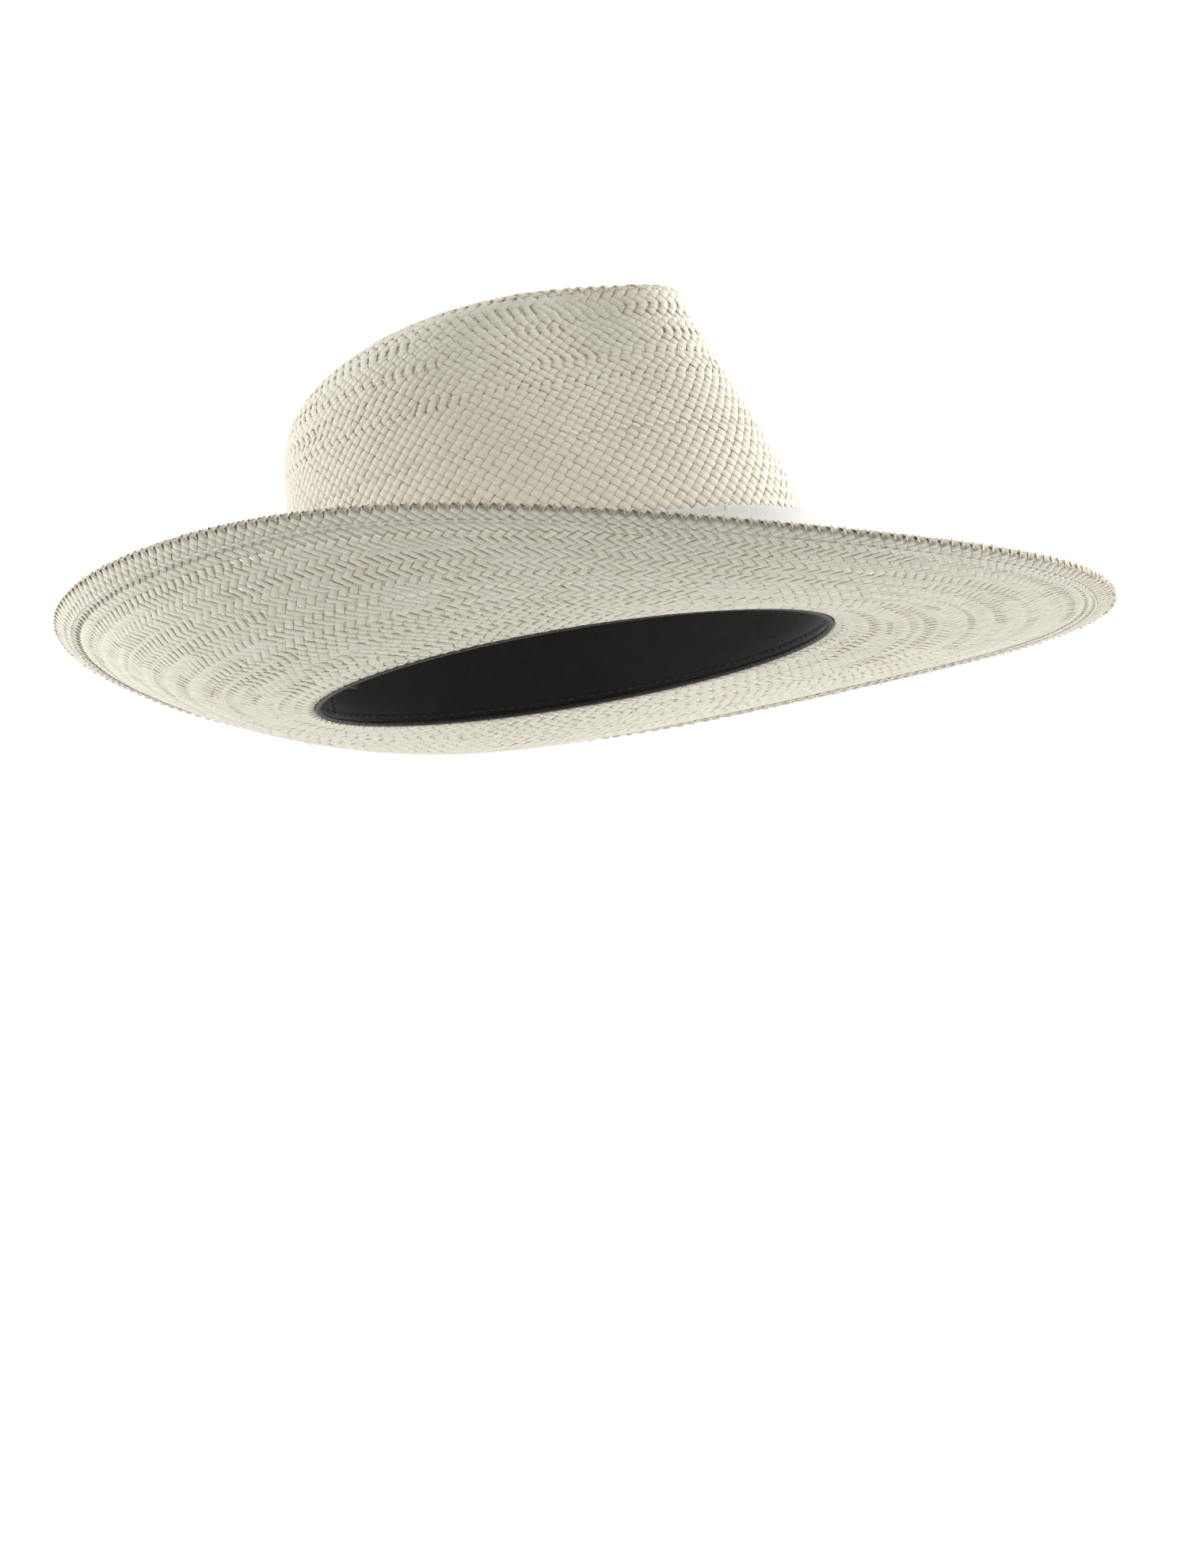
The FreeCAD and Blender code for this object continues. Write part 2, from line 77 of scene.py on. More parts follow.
# ------------------------------------------------------------------ splines
def spline_weights(count, order, at):
    """Weights of a clamped uniform B-spline with count poles, at each parameter from 0 to 1."""
    spans = count - order + 1
    knots = np.concatenate([np.zeros(order - 1), np.linspace(0, 1, spans + 1), np.ones(order - 1)])
    at = np.clip(np.asarray(at, float), 0, 1 - 1e-9)
    weights = ((knots[None, :-1] <= at[:, None]) & (at[:, None] < knots[None, 1:])).astype(float)
    for degree in range(1, order):
        low = knots[degree:-1] - knots[:-degree - 1]
        high = knots[degree + 1:] - knots[1:-degree]
        left = np.where(low > 0, (at[:, None] - knots[None, :-degree - 1]) / np.where(low > 0, low, 1), 0)
        right = np.where(high > 0, (knots[None, degree + 1:] - at[:, None]) / np.where(high > 0, high, 1), 0)
        weights = left * weights[:, :-1] + right * weights[:, 1:]
    return weights


def periodic_weights(count, fine):
    """Weights of a closed uniform cubic B-spline with count poles, at count*fine parameters."""
    weights = np.zeros((count * fine, count))
    for step in range(fine):
        t = step / fine
        cubic = ((1 - t) ** 3 / 6, (3 * t ** 3 - 6 * t ** 2 + 4) / 6,
                 (-3 * t ** 3 + 3 * t ** 2 + 3 * t + 1) / 6, t ** 3 / 6)
        for k in range(count):
            for shift, value in zip((-1, 0, 1, 2), cubic):
                weights[k * fine + step, (k + shift) % count] += value
    return weights


# ------------------------------------------------------------------ the middle of the straw
def waves(sizes, angle):
    basis = (np.ones_like(angle), np.cos(angle), np.cos(2 * angle), np.cos(3 * angle),
             np.cos(4 * angle), np.sin(angle), np.sin(2 * angle))
    return sum(amount * part for amount, part in zip(sizes, basis))


def ring_points(ring, angle):
    """Points of one crown ring: an oval with a narrow nose, pushed in at the two pinches."""
    front, back, half_width, rise_front, rise_side, rise_back, taper, pinch = ring
    cosine, sine = np.cos(angle), np.sin(angle)
    width = half_width * (1 - taper * cosine)
    length = (front + back) / 2
    out_x, out_y = -sine / width, -cosine / length
    norm = np.hypot(out_x, out_y)
    from_front = np.abs(np.degrees(np.arctan2(sine, cosine)))
    push = pinch * np.exp(-((from_front - PINCH_ANGLE) / PINCH_SPREAD) ** 2)
    rise = (rise_side + (rise_front - rise_back) / 2 * cosine
            + ((rise_front + rise_back) / 2 - rise_side) * cosine ** 2)
    return np.stack([-width * sine - out_x / norm * push,
                     (back - front) / 2 - length * cosine - out_y / norm * push, rise], -1)


def brim_points(angle, reach):
    start = ring_points(CROWN_RINGS[0], angle)
    length = (CROWN_RINGS[0, 0] + CROWN_RINGS[0, 1]) / 2
    out = np.stack([-np.sin(angle) / CROWN_RINGS[0, 2], -np.cos(angle) / length, 0 * angle], -1)
    out /= np.linalg.norm(out, axis=1)[:, None]
    slope, curl = waves(BRIM_SLOPE, angle), waves(BRIM_CURL, angle)
    share = reach / BRIM_WIDTH
    steps = (np.arange(12) + 0.5) / 12
    pitch = slope[:, None] + 2 * curl[:, None] * share * steps[None, :]
    run = np.sqrt(1 - pitch ** 2).mean(1) * reach
    return start + out * run[:, None] + np.array([0, 0, 1.0]) * ((slope + curl * share) * reach)[:, None]


def straw_poles():
    """The control rows of the CAD's straw, from the button out to the rim."""
    angle = TURN * np.arange(AROUND) / AROUND
    rings = np.stack([ring_points(ring, angle) for ring in CROWN_RINGS])
    heights = [(1 - k / CROWN_ROWS) ** CROWDING for k in range(CROWN_ROWS)]
    crown = np.einsum("rk,kac->rac", spline_weights(len(CROWN_RINGS), 4, heights), rings)
    start = BRIM_WIDTH - HEM_WIDTH
    reaches = [start * ((k + 1) / BRIM_ROWS) ** CROWDING for k in range(BRIM_ROWS)]
    reaches += [start + HEM_WIDTH * (k + 1) / HEM_ROWS for k in range(HEM_ROWS)]
    brim = np.stack([brim_points(angle, reach) for reach in reaches])
    return np.concatenate([crown, brim])


def smooth(x):
    x = np.clip(x, 0, 1)
    return x * x * (3 - 2 * x)


FINE_ROWS, FINE_ROUND = 16, 12
FOLD_RADIUS = 0.62
HEM_PRESSED = 0.25       # how far the hem's inner end still stands off the brim, as a share
FOLD_START = 102.4       # how far out the straw begins to turn under


class Cloth:
    """The straw's middle surface, from the button over the rim and back under the hem.

    Rows are evenly walked round the hat; s is the mean distance from the break, positive out.
    """

    def __init__(self):
        poles = straw_poles()
        spans = len(poles) - 3
        rows = spline_weights(len(poles), 4, np.linspace(0, 1, spans * FINE_ROWS + 1)) \
            @ poles.reshape(len(poles), -1)
        rows = rows.reshape(-1, AROUND, 3)
        points = np.einsum("fa,rac->rfc", periodic_weights(AROUND, FINE_ROUND), rows)
        lengths = np.linalg.norm(np.diff(points, axis=0), axis=2).mean(1)
        s = np.concatenate([[0], np.cumsum(lengths)])
        self.points, self.s = points, s - s[-1] + BRIM_WIDTH
        self.normals = self.find_normals(points)
        self.add_fold()
        self.even_out()

    @staticmethod
    def find_normals(points):
        across = np.gradient(points, axis=0)
        along = np.roll(points, -1, 1) - np.roll(points, 1, 1)
        normals = np.cross(along, across)
        return normals / np.linalg.norm(normals, axis=2)[:, :, None]

    def add_fold(self):
        last = int(np.searchsorted(self.s, FOLD_START))
        points, normals, s = self.points[:last + 1], self.normals[:last + 1], self.s[:last + 1]
        edge, up = points[-1], normals[-1]
        out = points[-1] - points[-2]
        out -= (out * up).sum(1)[:, None] * up
        out /= np.linalg.norm(out, axis=1)[:, None]
        bends = np.linspace(0, math.pi, 13)[1:]
        bent_n = [up * math.cos(b) + out * math.sin(b) for b in bends]
        bent = [edge - up * FOLD_RADIUS + n * FOLD_RADIUS for n in bent_n]
        back = np.arange(last - 1, int(np.searchsorted(s, FOLD_START - HEM_WIDTH)), -1)
        pressed = 1 - (1 - HEM_PRESSED) * smooth((FOLD_START - s[back] - 3) / (HEM_WIDTH - 3))
        under = points[back] - normals[back] * (2 * FOLD_RADIUS * pressed)[:, None, None]
        self.points = np.concatenate([points, bent, under])
        self.normals = np.concatenate([normals, bent_n, -normals[back]])
        steps = np.linalg.norm(np.diff(self.points[last:], axis=0), axis=2).mean(1)
        self.s = np.concatenate([s, s[-1] + np.cumsum(steps)])
        self.rim_s = s[-1] + FOLD_RADIUS * math.pi / 2

    def even_out(self):
        """Shifts each row's points along the row until they are evenly spaced."""
        count = self.points.shape[1]
        closed = np.concatenate([self.points, self.points[:, :1]], 1)
        normals = np.concatenate([self.normals, self.normals[:, :1]], 1)
        walked = np.concatenate([np.zeros((len(closed), 1)),
                                 np.cumsum(np.linalg.norm(np.diff(closed, axis=1), axis=2), 1)], 1)
        self.around = walked[:, -1]
        even = np.arange(count) / count
        points, turned = np.empty_like(self.points), np.empty_like(self.normals)
        for r in range(len(closed)):
            share = walked[r] / walked[r, -1]
            for axis in range(3):
                points[r, :, axis] = np.interp(even, share, closed[r, :, axis])
                turned[r, :, axis] = np.interp(even, share, normals[r, :, axis])
        self.points = points
        self.normals = turned / np.linalg.norm(turned, axis=2)[:, :, None]

    def at(self, s, x):
        """Points and normals at distances s and shares x of the way round, arrays of one shape."""
        row = np.interp(s, self.s, np.arange(len(self.s)))
        low = np.clip(row.astype(int), 0, len(self.s) - 2)
        up = (row - low)[..., None]
        count = self.points.shape[1]
        column = (x % 1.0) * count
        left = column.astype(int)
        part = (column - left)[..., None]
        left %= count
        right = (left + 1) % count
        found = []
        for grid in (self.points, self.normals):
            a = grid[low, left] * (1 - part) + grid[low, right] * part
            b = grid[low + 1, left] * (1 - part) + grid[low + 1, right] * part
            found.append(a * (1 - up) + b * up)
        found[1] /= np.linalg.norm(found[1], axis=-1)[..., None]
        return found[0], found[1]


cloth = Cloth()

# ------------------------------------------------------------------ the weave's plan
MIDDLE_STRAWS = 12        # straws of each family where the weave begins, round the button
CROWN_STRAWS = 114        # on the crown's side
RIM_STRAWS = 240          # at the rim
TIP_PITCH = 4.25          # length of the ring per straw, where straws are being added in the tip
GOLDEN = (math.sqrt(5) - 1) / 2
RAMP = 8.0                # an added straw reaches its full width over this distance


class Weave:
    """Where each straw of the two families runs, and which family lies on top in each row.

    Every straw climbs at about 45 degrees, one family turning by F(s) and the other by -F(s). Straws
    are added in pairs from one point, a folded straw with a leg in each family.
    """

    def __init__(self):
        ring = cloth.around
        self.first = float(np.interp(62.0, ring[:400], cloth.s[:400]))
        s = np.linspace(self.first, cloth.s[-1], 4000)
        around = np.interp(s, cloth.s, ring)
        tip = np.clip(around / TIP_PITCH, MIDDLE_STRAWS, CROWN_STRAWS)
        tip[s > 0] = CROWN_STRAWS
        tip = np.maximum.accumulate(tip)
        brim = smooth((s - 4) / 88) * 0.25 + np.clip((s - 4) / 84, 0, 1) * 0.75
        wanted = tip + (RIM_STRAWS - CROWN_STRAWS) * brim
        added = RIM_STRAWS - MIDDLE_STRAWS
        marks = MIDDLE_STRAWS + np.arange(added) + 0.5
        rising = wanted + np.arange(len(s)) * 1e-9
        self.starts = np.interp(marks, rising, s)
        step = s[1] - s[0]
        level = np.concatenate([[0], np.cumsum(step / around[:-1])])
        level -= np.interp(0, s, level)
        self.s = s
        grown = self.grown(s)
        self.count = MIDDLE_STRAWS + grown.sum(0)
        best = None
        for stretch in 1 + 0.0005 * np.arange(-60, 61):
            turned = np.where(s > 0, level * stretch, level)
            wraps = np.floor((np.arange(added) * GOLDEN) % 1.0 + 2 * np.interp(self.starts, s, turned))
            rows = 2 * self.count * turned - wraps @ grown
            rim_row = np.interp(cloth.rim_s, s, rows)
            miss = abs(rim_row - 2 * round(rim_row / 2)) + abs(stretch - 1)
            if best is None or miss < best[0]:
                best = (miss, turned, rows)
        self.turned, self.rows = best[1], np.maximum.accumulate(best[2])

    def grown(self, s):
        """How much of its full width each added straw has at each s."""
        return smooth((s[None, :] - self.starts[:, None]) / RAMP)

    def family(self, way):
        """The places of one family's straws round the hat before they turn, sorted, and their starts."""
        base = (np.arange(MIDDLE_STRAWS) + 0.5) / MIDDLE_STRAWS
        m = np.arange(len(self.starts))
        place = (m * GOLDEN) % 1.0
        if way < 0:
            place = place + 2 * np.interp(self.starts, self.s, self.turned)
        places = np.concatenate([base, place % 1.0])
        starts = np.concatenate([np.full(MIDDLE_STRAWS, -1e4), self.starts])
        order = np.argsort(places)
        return places[order], starts[order]

    def row_of(self, s):
        return np.interp(s, self.s, self.rows)

    def s_of(self, row):
        return np.interp(row, self.rows, self.s)


weave = Weave()

# Level rows between which the straws float over two, as distances from the break.
FLOAT_ZONES = [[4 * round(float(weave.row_of(s)) / 4) for s in zone]
               for zone in ((-134.0, -124.0), (34.0, 91.0))]


def upper_family(row):
    """1 where the first family lies on top in a row, -1 where the second does."""
    row = np.asarray(np.round(row), int)
    plain = np.where(row % 2 == 0, 1, -1)
    paired = np.where(row % 4 < 2, 1, -1)
    floats = sum((row >= low) & (row < high) for low, high in FLOAT_ZONES) > 0
    return np.where(floats, paired, plain)


# ------------------------------------------------------------------ straws as closed flat tubes
SECTION = np.array([(-1.0, 0.0), (-0.80, 0.88), (0.0, 1.12), (0.80, 0.88), (1.0, 0.0),
                    (0.80, -0.88), (0.0, -1.12), (-0.80, -0.88)])
# Painted shade: how much of the dark tan gap colour each point of a straw's section gets, full at its two
# sides where it meets the gaps between straws.
GAP_SHADE_WEIGHT = np.array([1.0, 0.25, 0.0, 0.25, 1.0, 0.25, 0.0, 0.25])
FILL = 0.985              # a straw's width as a share of the room it has
STRAND_HALF = 0.27        # half the thickness of one straw
LIFT = 0.29               # how far a straw's middle rises above the cloth's middle
LIFT_ALONG = ((-60.0, 1.0), (0.0, 0.85), (40.0, 0.72), (86.0, 0.72), (96.0, 1.0))
FILL_ALONG = ((-130.0, 1.045), (-90.0, 1.02), (-70.0, 1.0), (76.0, 1.0), (80.0, 0.93), (84.0, 1.0))


class Soup:
    """Collects closed tubes and makes one mesh of them."""

    def __init__(self):
        self.points, self.faces, self.uv, self.tone, self.edge = [], [], [], [], []
        self.count = 0

    def add_tube(self, rings, closed, along, tone, across, edge):
        """rings: (n, m, 3). Adds quads between rings, and end caps unless closed."""
        n, m = rings.shape[:2]
        base = self.count
        index = base + np.arange(n * m).reshape(n, m)
        a, b = (index, np.roll(index, -1, 0)) if closed else (index[:-1], index[1:])
        c, d = np.roll(b, -1, 1), np.roll(a, -1, 1)
        self.faces.append(np.stack([a, d, c, b], -1).reshape(-1, 4))
        self.points.append(rings.reshape(-1, 3))
        self.uv.append(np.stack([np.broadcast_to(across, (n, m)),
                                 np.broadcast_to(along[:, None], (n, m))], -1).reshape(-1, 2))
        self.tone.append(np.broadcast_to(np.asarray(tone)[..., None] if np.ndim(tone) else
                                         np.full((n, 1), tone), (n, m)).reshape(-1))
        self.edge.append(np.broadcast_to(edge, (n, m)).reshape(-1))
        if not closed:
            for ring, flip in ((index[0], False), (index[-1], True)):
                for k in range(1, m // 2):
                    quad = [ring[k - 1], ring[k], ring[m - 1 - k], ring[(m - k) % m]]
                    self.faces.append(np.array([quad if not flip else quad[::-1]]))
        self.count += n * m

    def build(self, name, material, slot):
        points = np.concatenate(self.points) * MM
        faces = np.concatenate(self.faces)
        mesh = bpy.data.meshes.new(name)
        mesh.vertices.add(len(points))
        mesh.vertices.foreach_set("co", points.astype(np.float32).ravel())
        mesh.loops.add(len(faces) * 4)
        mesh.loops.foreach_set("vertex_index", faces.astype(np.int32).ravel())
        mesh.polygons.add(len(faces))
        mesh.polygons.foreach_set("loop_start", np.arange(len(faces), dtype=np.int32) * 4)
        mesh.update(calc_edges=True)
        mesh.polygons.foreach_set("use_smooth", np.ones(len(faces), bool))
        layer = mesh.uv_layers.new(name="fibre")
        uv = np.concatenate(self.uv)[faces.ravel()]
        layer.data.foreach_set("uv", uv.astype(np.float32).ravel())
        # tone is the straw's own random tone; edge carries the weight of the painted shade in the gaps
        # between straws.
        for label, values in (("tone", self.tone), ("edge", self.edge)):
            attribute = mesh.attributes.new(label, "FLOAT", "POINT")
            attribute.data.foreach_set("value", np.concatenate(values).astype(np.float32))
        mesh.validate()
        item = bpy.data.objects.new(name, mesh)
        bpy.context.scene.collection.objects.link(item)
        mesh.materials.append(material)
        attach(item, "root")
        return item


def unit(vectors):
    return vectors / np.linalg.norm(vectors, axis=-1)[..., None]


def tube_rings(centre, side, up, half_width, half_height, section=SECTION):
    """Rings of section points round a centre line."""
    return (centre[:, None, :]
            + side[:, None, :] * (half_width[:, None, None] * section[None, :, 0, None])
            + up[:, None, :] * (half_height[:, None, None] * section[None, :, 1, None]))


RANDOM = np.random.RandomState(11)
IN_ROW = (-0.40, 0.0, 0.40)       # where a straw is drawn within each row of crossings
GIRTH = {1: 1.035, -1: 0.965}     # one family is a little wider
SPROUT = 0.12                     # an added straw begins once it has this share of its width


def straw_family(way, zones):
    """Lays every straw of one family; zones is a list of (name, from s, to s)."""
    places, starts = weave.family(way)
    first_row = math.ceil(weave.row_of(zones[0][1]))
    last_row = math.floor(weave.row_of(zones[-1][2]))
    rows = (np.arange(first_row, last_row + 1)[:, None] + np.array(IN_ROW)[None, :]).ravel()
    s = weave.s_of(rows)
    grown = smooth((s[None, :] - starts[:, None]) / RAMP)
    sums = np.cumsum(grown, 0)
    around = np.interp(s, cloth.s, cloth.around)
    turned = np.interp(s, weave.s, weave.turned)
    x = (sums - grown / 2) / sums[-1] + way * turned[None, :]
    width = grown * (around / sums[-1] / math.sqrt(2))[None, :]
    over = upper_family(rows) * way
    taper = np.where(np.abs(rows - np.round(rows)) > 0.1, 0.84, 1.0)
    lift = LIFT * np.interp(s, *zip(*LIFT_ALONG))
    plump = np.interp(s, *zip(*FILL_ALONG))
    soups = {name: Soup() for name, low, high in zones}
    cuts = [(name, np.searchsorted(s, low), min(np.searchsorted(s, high), len(s) - 1))
            for name, low, high in zones]
    for k in range(len(places)):
        seed = RANDOM.normal(0, 1, 6)
        live = np.nonzero(grown[k] > SPROUT)[0]
        if len(live) < 3:
            continue
        first = live[0]
        sk = s[first:]
        phase = sk * 0.045 + seed[0] * 9
        drift = (0.16 * np.sin(phase) + 0.10 * np.sin(phase * 2.7 + seed[1] * 5)
                 + 0.07 * np.sin(sk * 1.9 + seed[2] * 7))
        fill = FILL * plump[first:] + 0.03 * np.sin(sk * 0.21 + seed[3] * 8) + 0.02 * seed[4]
        half = width[k, first:] / 2 * fill * GIRTH[way]
        point, normal = cloth.at(sk, x[k, first:])
        side = np.cross(normal, unit(np.gradient(point, axis=0)))
        rise = over[first:] * lift[first:] * taper[first:] * (1 + 0.08 * np.sin(sk * 0.9 + seed[5] * 6))
        settled = smooth((grown[k, first:] - SPROUT) / 0.3)
        centre = point + normal * rise[:, None] + unit(side) * (drift * settled)[:, None]
        side = unit(side)
        up = unit(np.cross(unit(np.gradient(centre, axis=0)), side))
        rings = tube_rings(centre, side, up, half, np.full(len(sk), STRAND_HALF))
        tone = seed[0] * 0.5 + 0.35 * np.sin(sk * 0.05 + seed[1] * 4)
        across = SECTION[:, 0][None, :] * half[:, None] + k * 17.3
        for name, low, high in cuts:
            a, b = max(low - first, 0), high - first + 1
            if b - a >= 2:
                soups[name].add_tube(rings[a:b], False, sk[a:b] * 1.414, tone[a:b], across[a:b],
                                     GAP_SHADE_WEIGHT[None, :])
    return soups


# ------------------------------------------------------------------ materials
def new_material(name):
    material = bpy.data.materials.new(name)
    material.use_nodes = True
    nodes, links = material.node_tree.nodes, material.node_tree.links
    nodes.clear()
    output = nodes.new("ShaderNodeOutputMaterial")
    shader = nodes.new("ShaderNodeBsdfPrincipled")
    links.new(shader.outputs[0], output.inputs[0])
    return material, nodes, links, shader


def ramp(nodes, stops):
    item = nodes.new("ShaderNodeValToRGB")
    while len(item.color_ramp.elements) < len(stops):
        item.color_ramp.elements.new(0.5)
    for element, (place, colour) in zip(item.color_ramp.elements, stops):
        element.position = place
        element.color = (*colour, 1)
    return item


def noise(nodes, links, vector, scale, detail=3.0, roughness=0.6):
    item = nodes.new("ShaderNodeTexNoise")
    item.inputs["Scale"].default_value = scale
    item.inputs["Detail"].default_value = detail
    item.inputs["Roughness"].default_value = roughness
    links.new(vector, item.inputs["Vector"])
    return item


def math_node(nodes, links, kind, a, b=None):
    item = nodes.new("ShaderNodeMath")
    item.operation = kind
    for socket, value in zip(item.inputs, (a, b)):
        if value is None:
            continue
        if isinstance(value, (int, float)):
            socket.default_value = value
        else:
            links.new(value, socket)
    return item.outputs[0]


def scale_add(nodes, links, value, factor, offset):
    total = math_node(nodes, links, "MULTIPLY_ADD", value, factor)
    total.node.inputs[2].default_value = offset
    return total


def dot_node(nodes, links, vector, way):
    item = nodes.new("ShaderNodeVectorMath")
    item.operation = "DOT_PRODUCT"
    item.inputs[1].default_value = way
    links.new(vector, item.inputs[0])
    return item.outputs["Value"]


def glide(nodes, links, value, sizes):
    """Maps a value smoothly; sizes are from low, from high, to low and to high."""
    item = nodes.new("ShaderNodeMapRange")
    item.interpolation_type = "SMOOTHSTEP"
    for name, size in zip(("From Min", "From Max", "To Min", "To Max"), sizes):
        item.inputs[name].default_value = size
    links.new(value, item.inputs["Value"])
    return item.outputs[0]


def mix(nodes, links, factor, a, b, kind="MIX"):
    item = nodes.new("ShaderNodeMix")
    item.data_type = "RGBA"
    item.blend_type = kind
    for name, value in (("Factor", factor), ("A", a), ("B", b)):
        socket = next(s for s in item.inputs if s.name == name and
                      (s.type == "RGBA" if name != "Factor" else s.type == "VALUE"))
        if isinstance(value, (int, float)):
            socket.default_value = value
        elif isinstance(value, tuple):
            socket.default_value = (*value, 1)
        else:
            links.new(value, socket)
    return next(s for s in item.outputs if s.type == "RGBA")


def stretched(nodes, links, sizes, uv="fibre"):
    """The fibre coordinates, scaled, so that a noise runs along the straw."""
    source = nodes.new("ShaderNodeUVMap")
    source.uv_map = uv
    mapping = nodes.new("ShaderNodeMapping")
    mapping.inputs["Scale"].default_value = sizes
    links.new(source.outputs[0], mapping.inputs[0])
    return mapping.outputs[0]


def bump(nodes, links, shader, height, strength, distance):
    item = nodes.new("ShaderNodeBump")
    item.inputs["Strength"].default_value = strength
    item.inputs["Distance"].default_value = distance
    links.new(height, item.inputs["Height"])
    links.new(item.outputs[0], shader.inputs["Normal"])


def straw_material(name, light, dark, gap_shade_colour):
    material, nodes, links, shader = new_material(name)
    fibres = noise(nodes, links, stretched(nodes, links, (3.2, 0.16, 1)), 1.6, 5, 0.65)
    blotch = noise(nodes, links, stretched(nodes, links, (0.35, 0.12, 1)), 0.6, 2, 0.5)
    tone = nodes.new("ShaderNodeAttribute")
    tone.attribute_name = "tone"
    edge = nodes.new("ShaderNodeAttribute")
    edge.attribute_name = "edge"
    mixed = scale_add(nodes, links, tone.outputs["Fac"], 0.16, 0.5)
    streak = scale_add(nodes, links, fibres.outputs["Fac"], 0.55, -0.275)
    patch = scale_add(nodes, links, blotch.outputs["Fac"], 0.5, -0.25)
    total = math_node(nodes, links, "ADD", math_node(nodes, links, "ADD", mixed, streak), patch)
    total.node.use_clamp = True
    body = ramp(nodes, [(0.0, dark), (0.55, light), (1.0, tuple(min(1, c * 1.06) for c in light))])
    links.new(total, body.inputs[0])
    # Painted shade: towards its sides, where the gaps between straws are, a straw is mixed towards a dark
    # tan.
    edges = math_node(nodes, links, "POWER", edge.outputs["Fac"], 1.9)
    edges = math_node(nodes, links, "MULTIPLY", edges, 0.9)
    colour = mix(nodes, links, edges, body.outputs[0], gap_shade_colour)
    links.new(colour, shader.inputs["Base Color"])
    rough = scale_add(nodes, links, fibres.outputs["Fac"], 0.25, 0.42)
    links.new(rough, shader.inputs["Roughness"])
    shader.inputs["Specular IOR Level"].default_value = 0.35
    bump(nodes, links, shader, fibres.outputs["Fac"], 0.35, 0.00012)
    return material


def ribbon_material(name, light, dark, rib_pitch):
    material, nodes, links, shader = new_material(name)
    coordinates = stretched(nodes, links, (1, 1, 1))
    rib = nodes.new("ShaderNodeTexWave")
    rib.wave_type = "BANDS"
    rib.bands_direction = "Y"
    rib.inputs["Scale"].default_value = TURN / rib_pitch / 20
    rib.inputs["Distortion"].default_value = 0.15
    rib.inputs["Detail"].default_value = 2
    links.new(coordinates, rib.inputs["Vector"])
    threads = noise(nodes, links, stretched(nodes, links, (0.5, 5.0, 1)), 2.0, 4)
    cloudy = noise(nodes, links, stretched(nodes, links, (0.05, 0.08, 1)), 1.0, 2)
    shade = math_node(nodes, links, "ADD",
                      math_node(nodes, links, "MULTIPLY", threads.outputs["Fac"], 0.5),
                      math_node(nodes, links, "MULTIPLY", cloudy.outputs["Fac"], 0.5))
    body = ramp(nodes, [(0.3, dark), (0.65, light)])
    links.new(shade, body.inputs[0])
    # Painted shade: the grooves between the ribs are mixed a little towards a darker colour.
    groove_shade = math_node(nodes, links, "MULTIPLY", rib.outputs["Fac"], 0.10)
    colour = mix(nodes, links, groove_shade, body.outputs[0], tuple(c * 0.6 for c in dark))
    links.new(colour, shader.inputs["Base Color"])
    rough = scale_add(nodes, links, threads.outputs["Fac"], 0.3, 0.45)
    links.new(rough, shader.inputs["Roughness"])
    shader.inputs["Sheen Weight"].default_value = 0.15
    shader.inputs["Specular IOR Level"].default_value = 0.3
    bump(nodes, links, shader, threads.outputs["Fac"], 0.25, 0.0001)
    return material


def leather_material(name, light, dark, grain):
    material, nodes, links, shader = new_material(name)
    coordinates = stretched(nodes, links, (1, 1, 1))
    cells = nodes.new("ShaderNodeTexVoronoi")
    cells.inputs["Scale"].default_value = grain
    links.new(coordinates, cells.inputs["Vector"])
    cloudy = noise(nodes, links, coordinates, 0.12, 4)
    body = ramp(nodes, [(0.3, dark), (0.7, light)])
    links.new(cloudy.outputs["Fac"], body.inputs[0])
    creases = math_node(nodes, links, "MULTIPLY", cells.outputs["Distance"], 0.35)
    colour = mix(nodes, links, creases, body.outputs[0], tuple(c * 1.5 for c in light))
    links.new(colour, shader.inputs["Base Color"])
    rough = scale_add(nodes, links, cloudy.outputs["Fac"], 0.3, 0.45)
    links.new(rough, shader.inputs["Roughness"])
    bump(nodes, links, shader, cells.outputs["Distance"], 0.4, 0.00015)
    return material


def thread_material(name, light, dark):
    material, nodes, links, shader = new_material(name)
    twist = nodes.new("ShaderNodeTexWave")
    twist.bands_direction = "DIAGONAL"
    twist.inputs["Scale"].default_value = 1.1
    links.new(stretched(nodes, links, (1, 1, 1)), twist.inputs["Vector"])
    lint = noise(nodes, links, stretched(nodes, links, (4, 1, 1)), 2.0, 3)
    amount = math_node(nodes, links, "MULTIPLY", twist.outputs["Fac"], lint.outputs["Fac"])
    body = ramp(nodes, [(0.1, dark), (0.55, light)])
    links.new(amount, body.inputs[0])
    links.new(body.outputs[0], shader.inputs["Base Color"])
    rough = scale_add(nodes, links, lint.outputs["Fac"], 0.3, 0.5)
    links.new(rough, shader.inputs["Roughness"])
    bump(nodes, links, shader, twist.outputs["Fac"], 0.4, 0.0001)
    return material


# The third colour is painted shade for the gaps between straws.
STRAW = straw_material("straw_natural", (0.83, 0.795, 0.685), (0.72, 0.675, 0.55), (0.54, 0.40, 0.20))
RIBBON = ribbon_material("ribbon_white", (0.78, 0.78, 0.77), (0.68, 0.68, 0.675), RIB_PITCH)
THREAD = thread_material("thread_white", (0.98, 0.975, 0.96), (0.88, 0.87, 0.84))
BLACK = leather_material("band_black", (0.022, 0.022, 0.024), (0.010, 0.010, 0.011), 1.3)
REED = leather_material("piping_black", (0.045, 0.045, 0.048), (0.018, 0.018, 0.02), 2.4)
DARK_THREAD = thread_material("thread_dark", (0.16, 0.155, 0.15), (0.05, 0.05, 0.05))

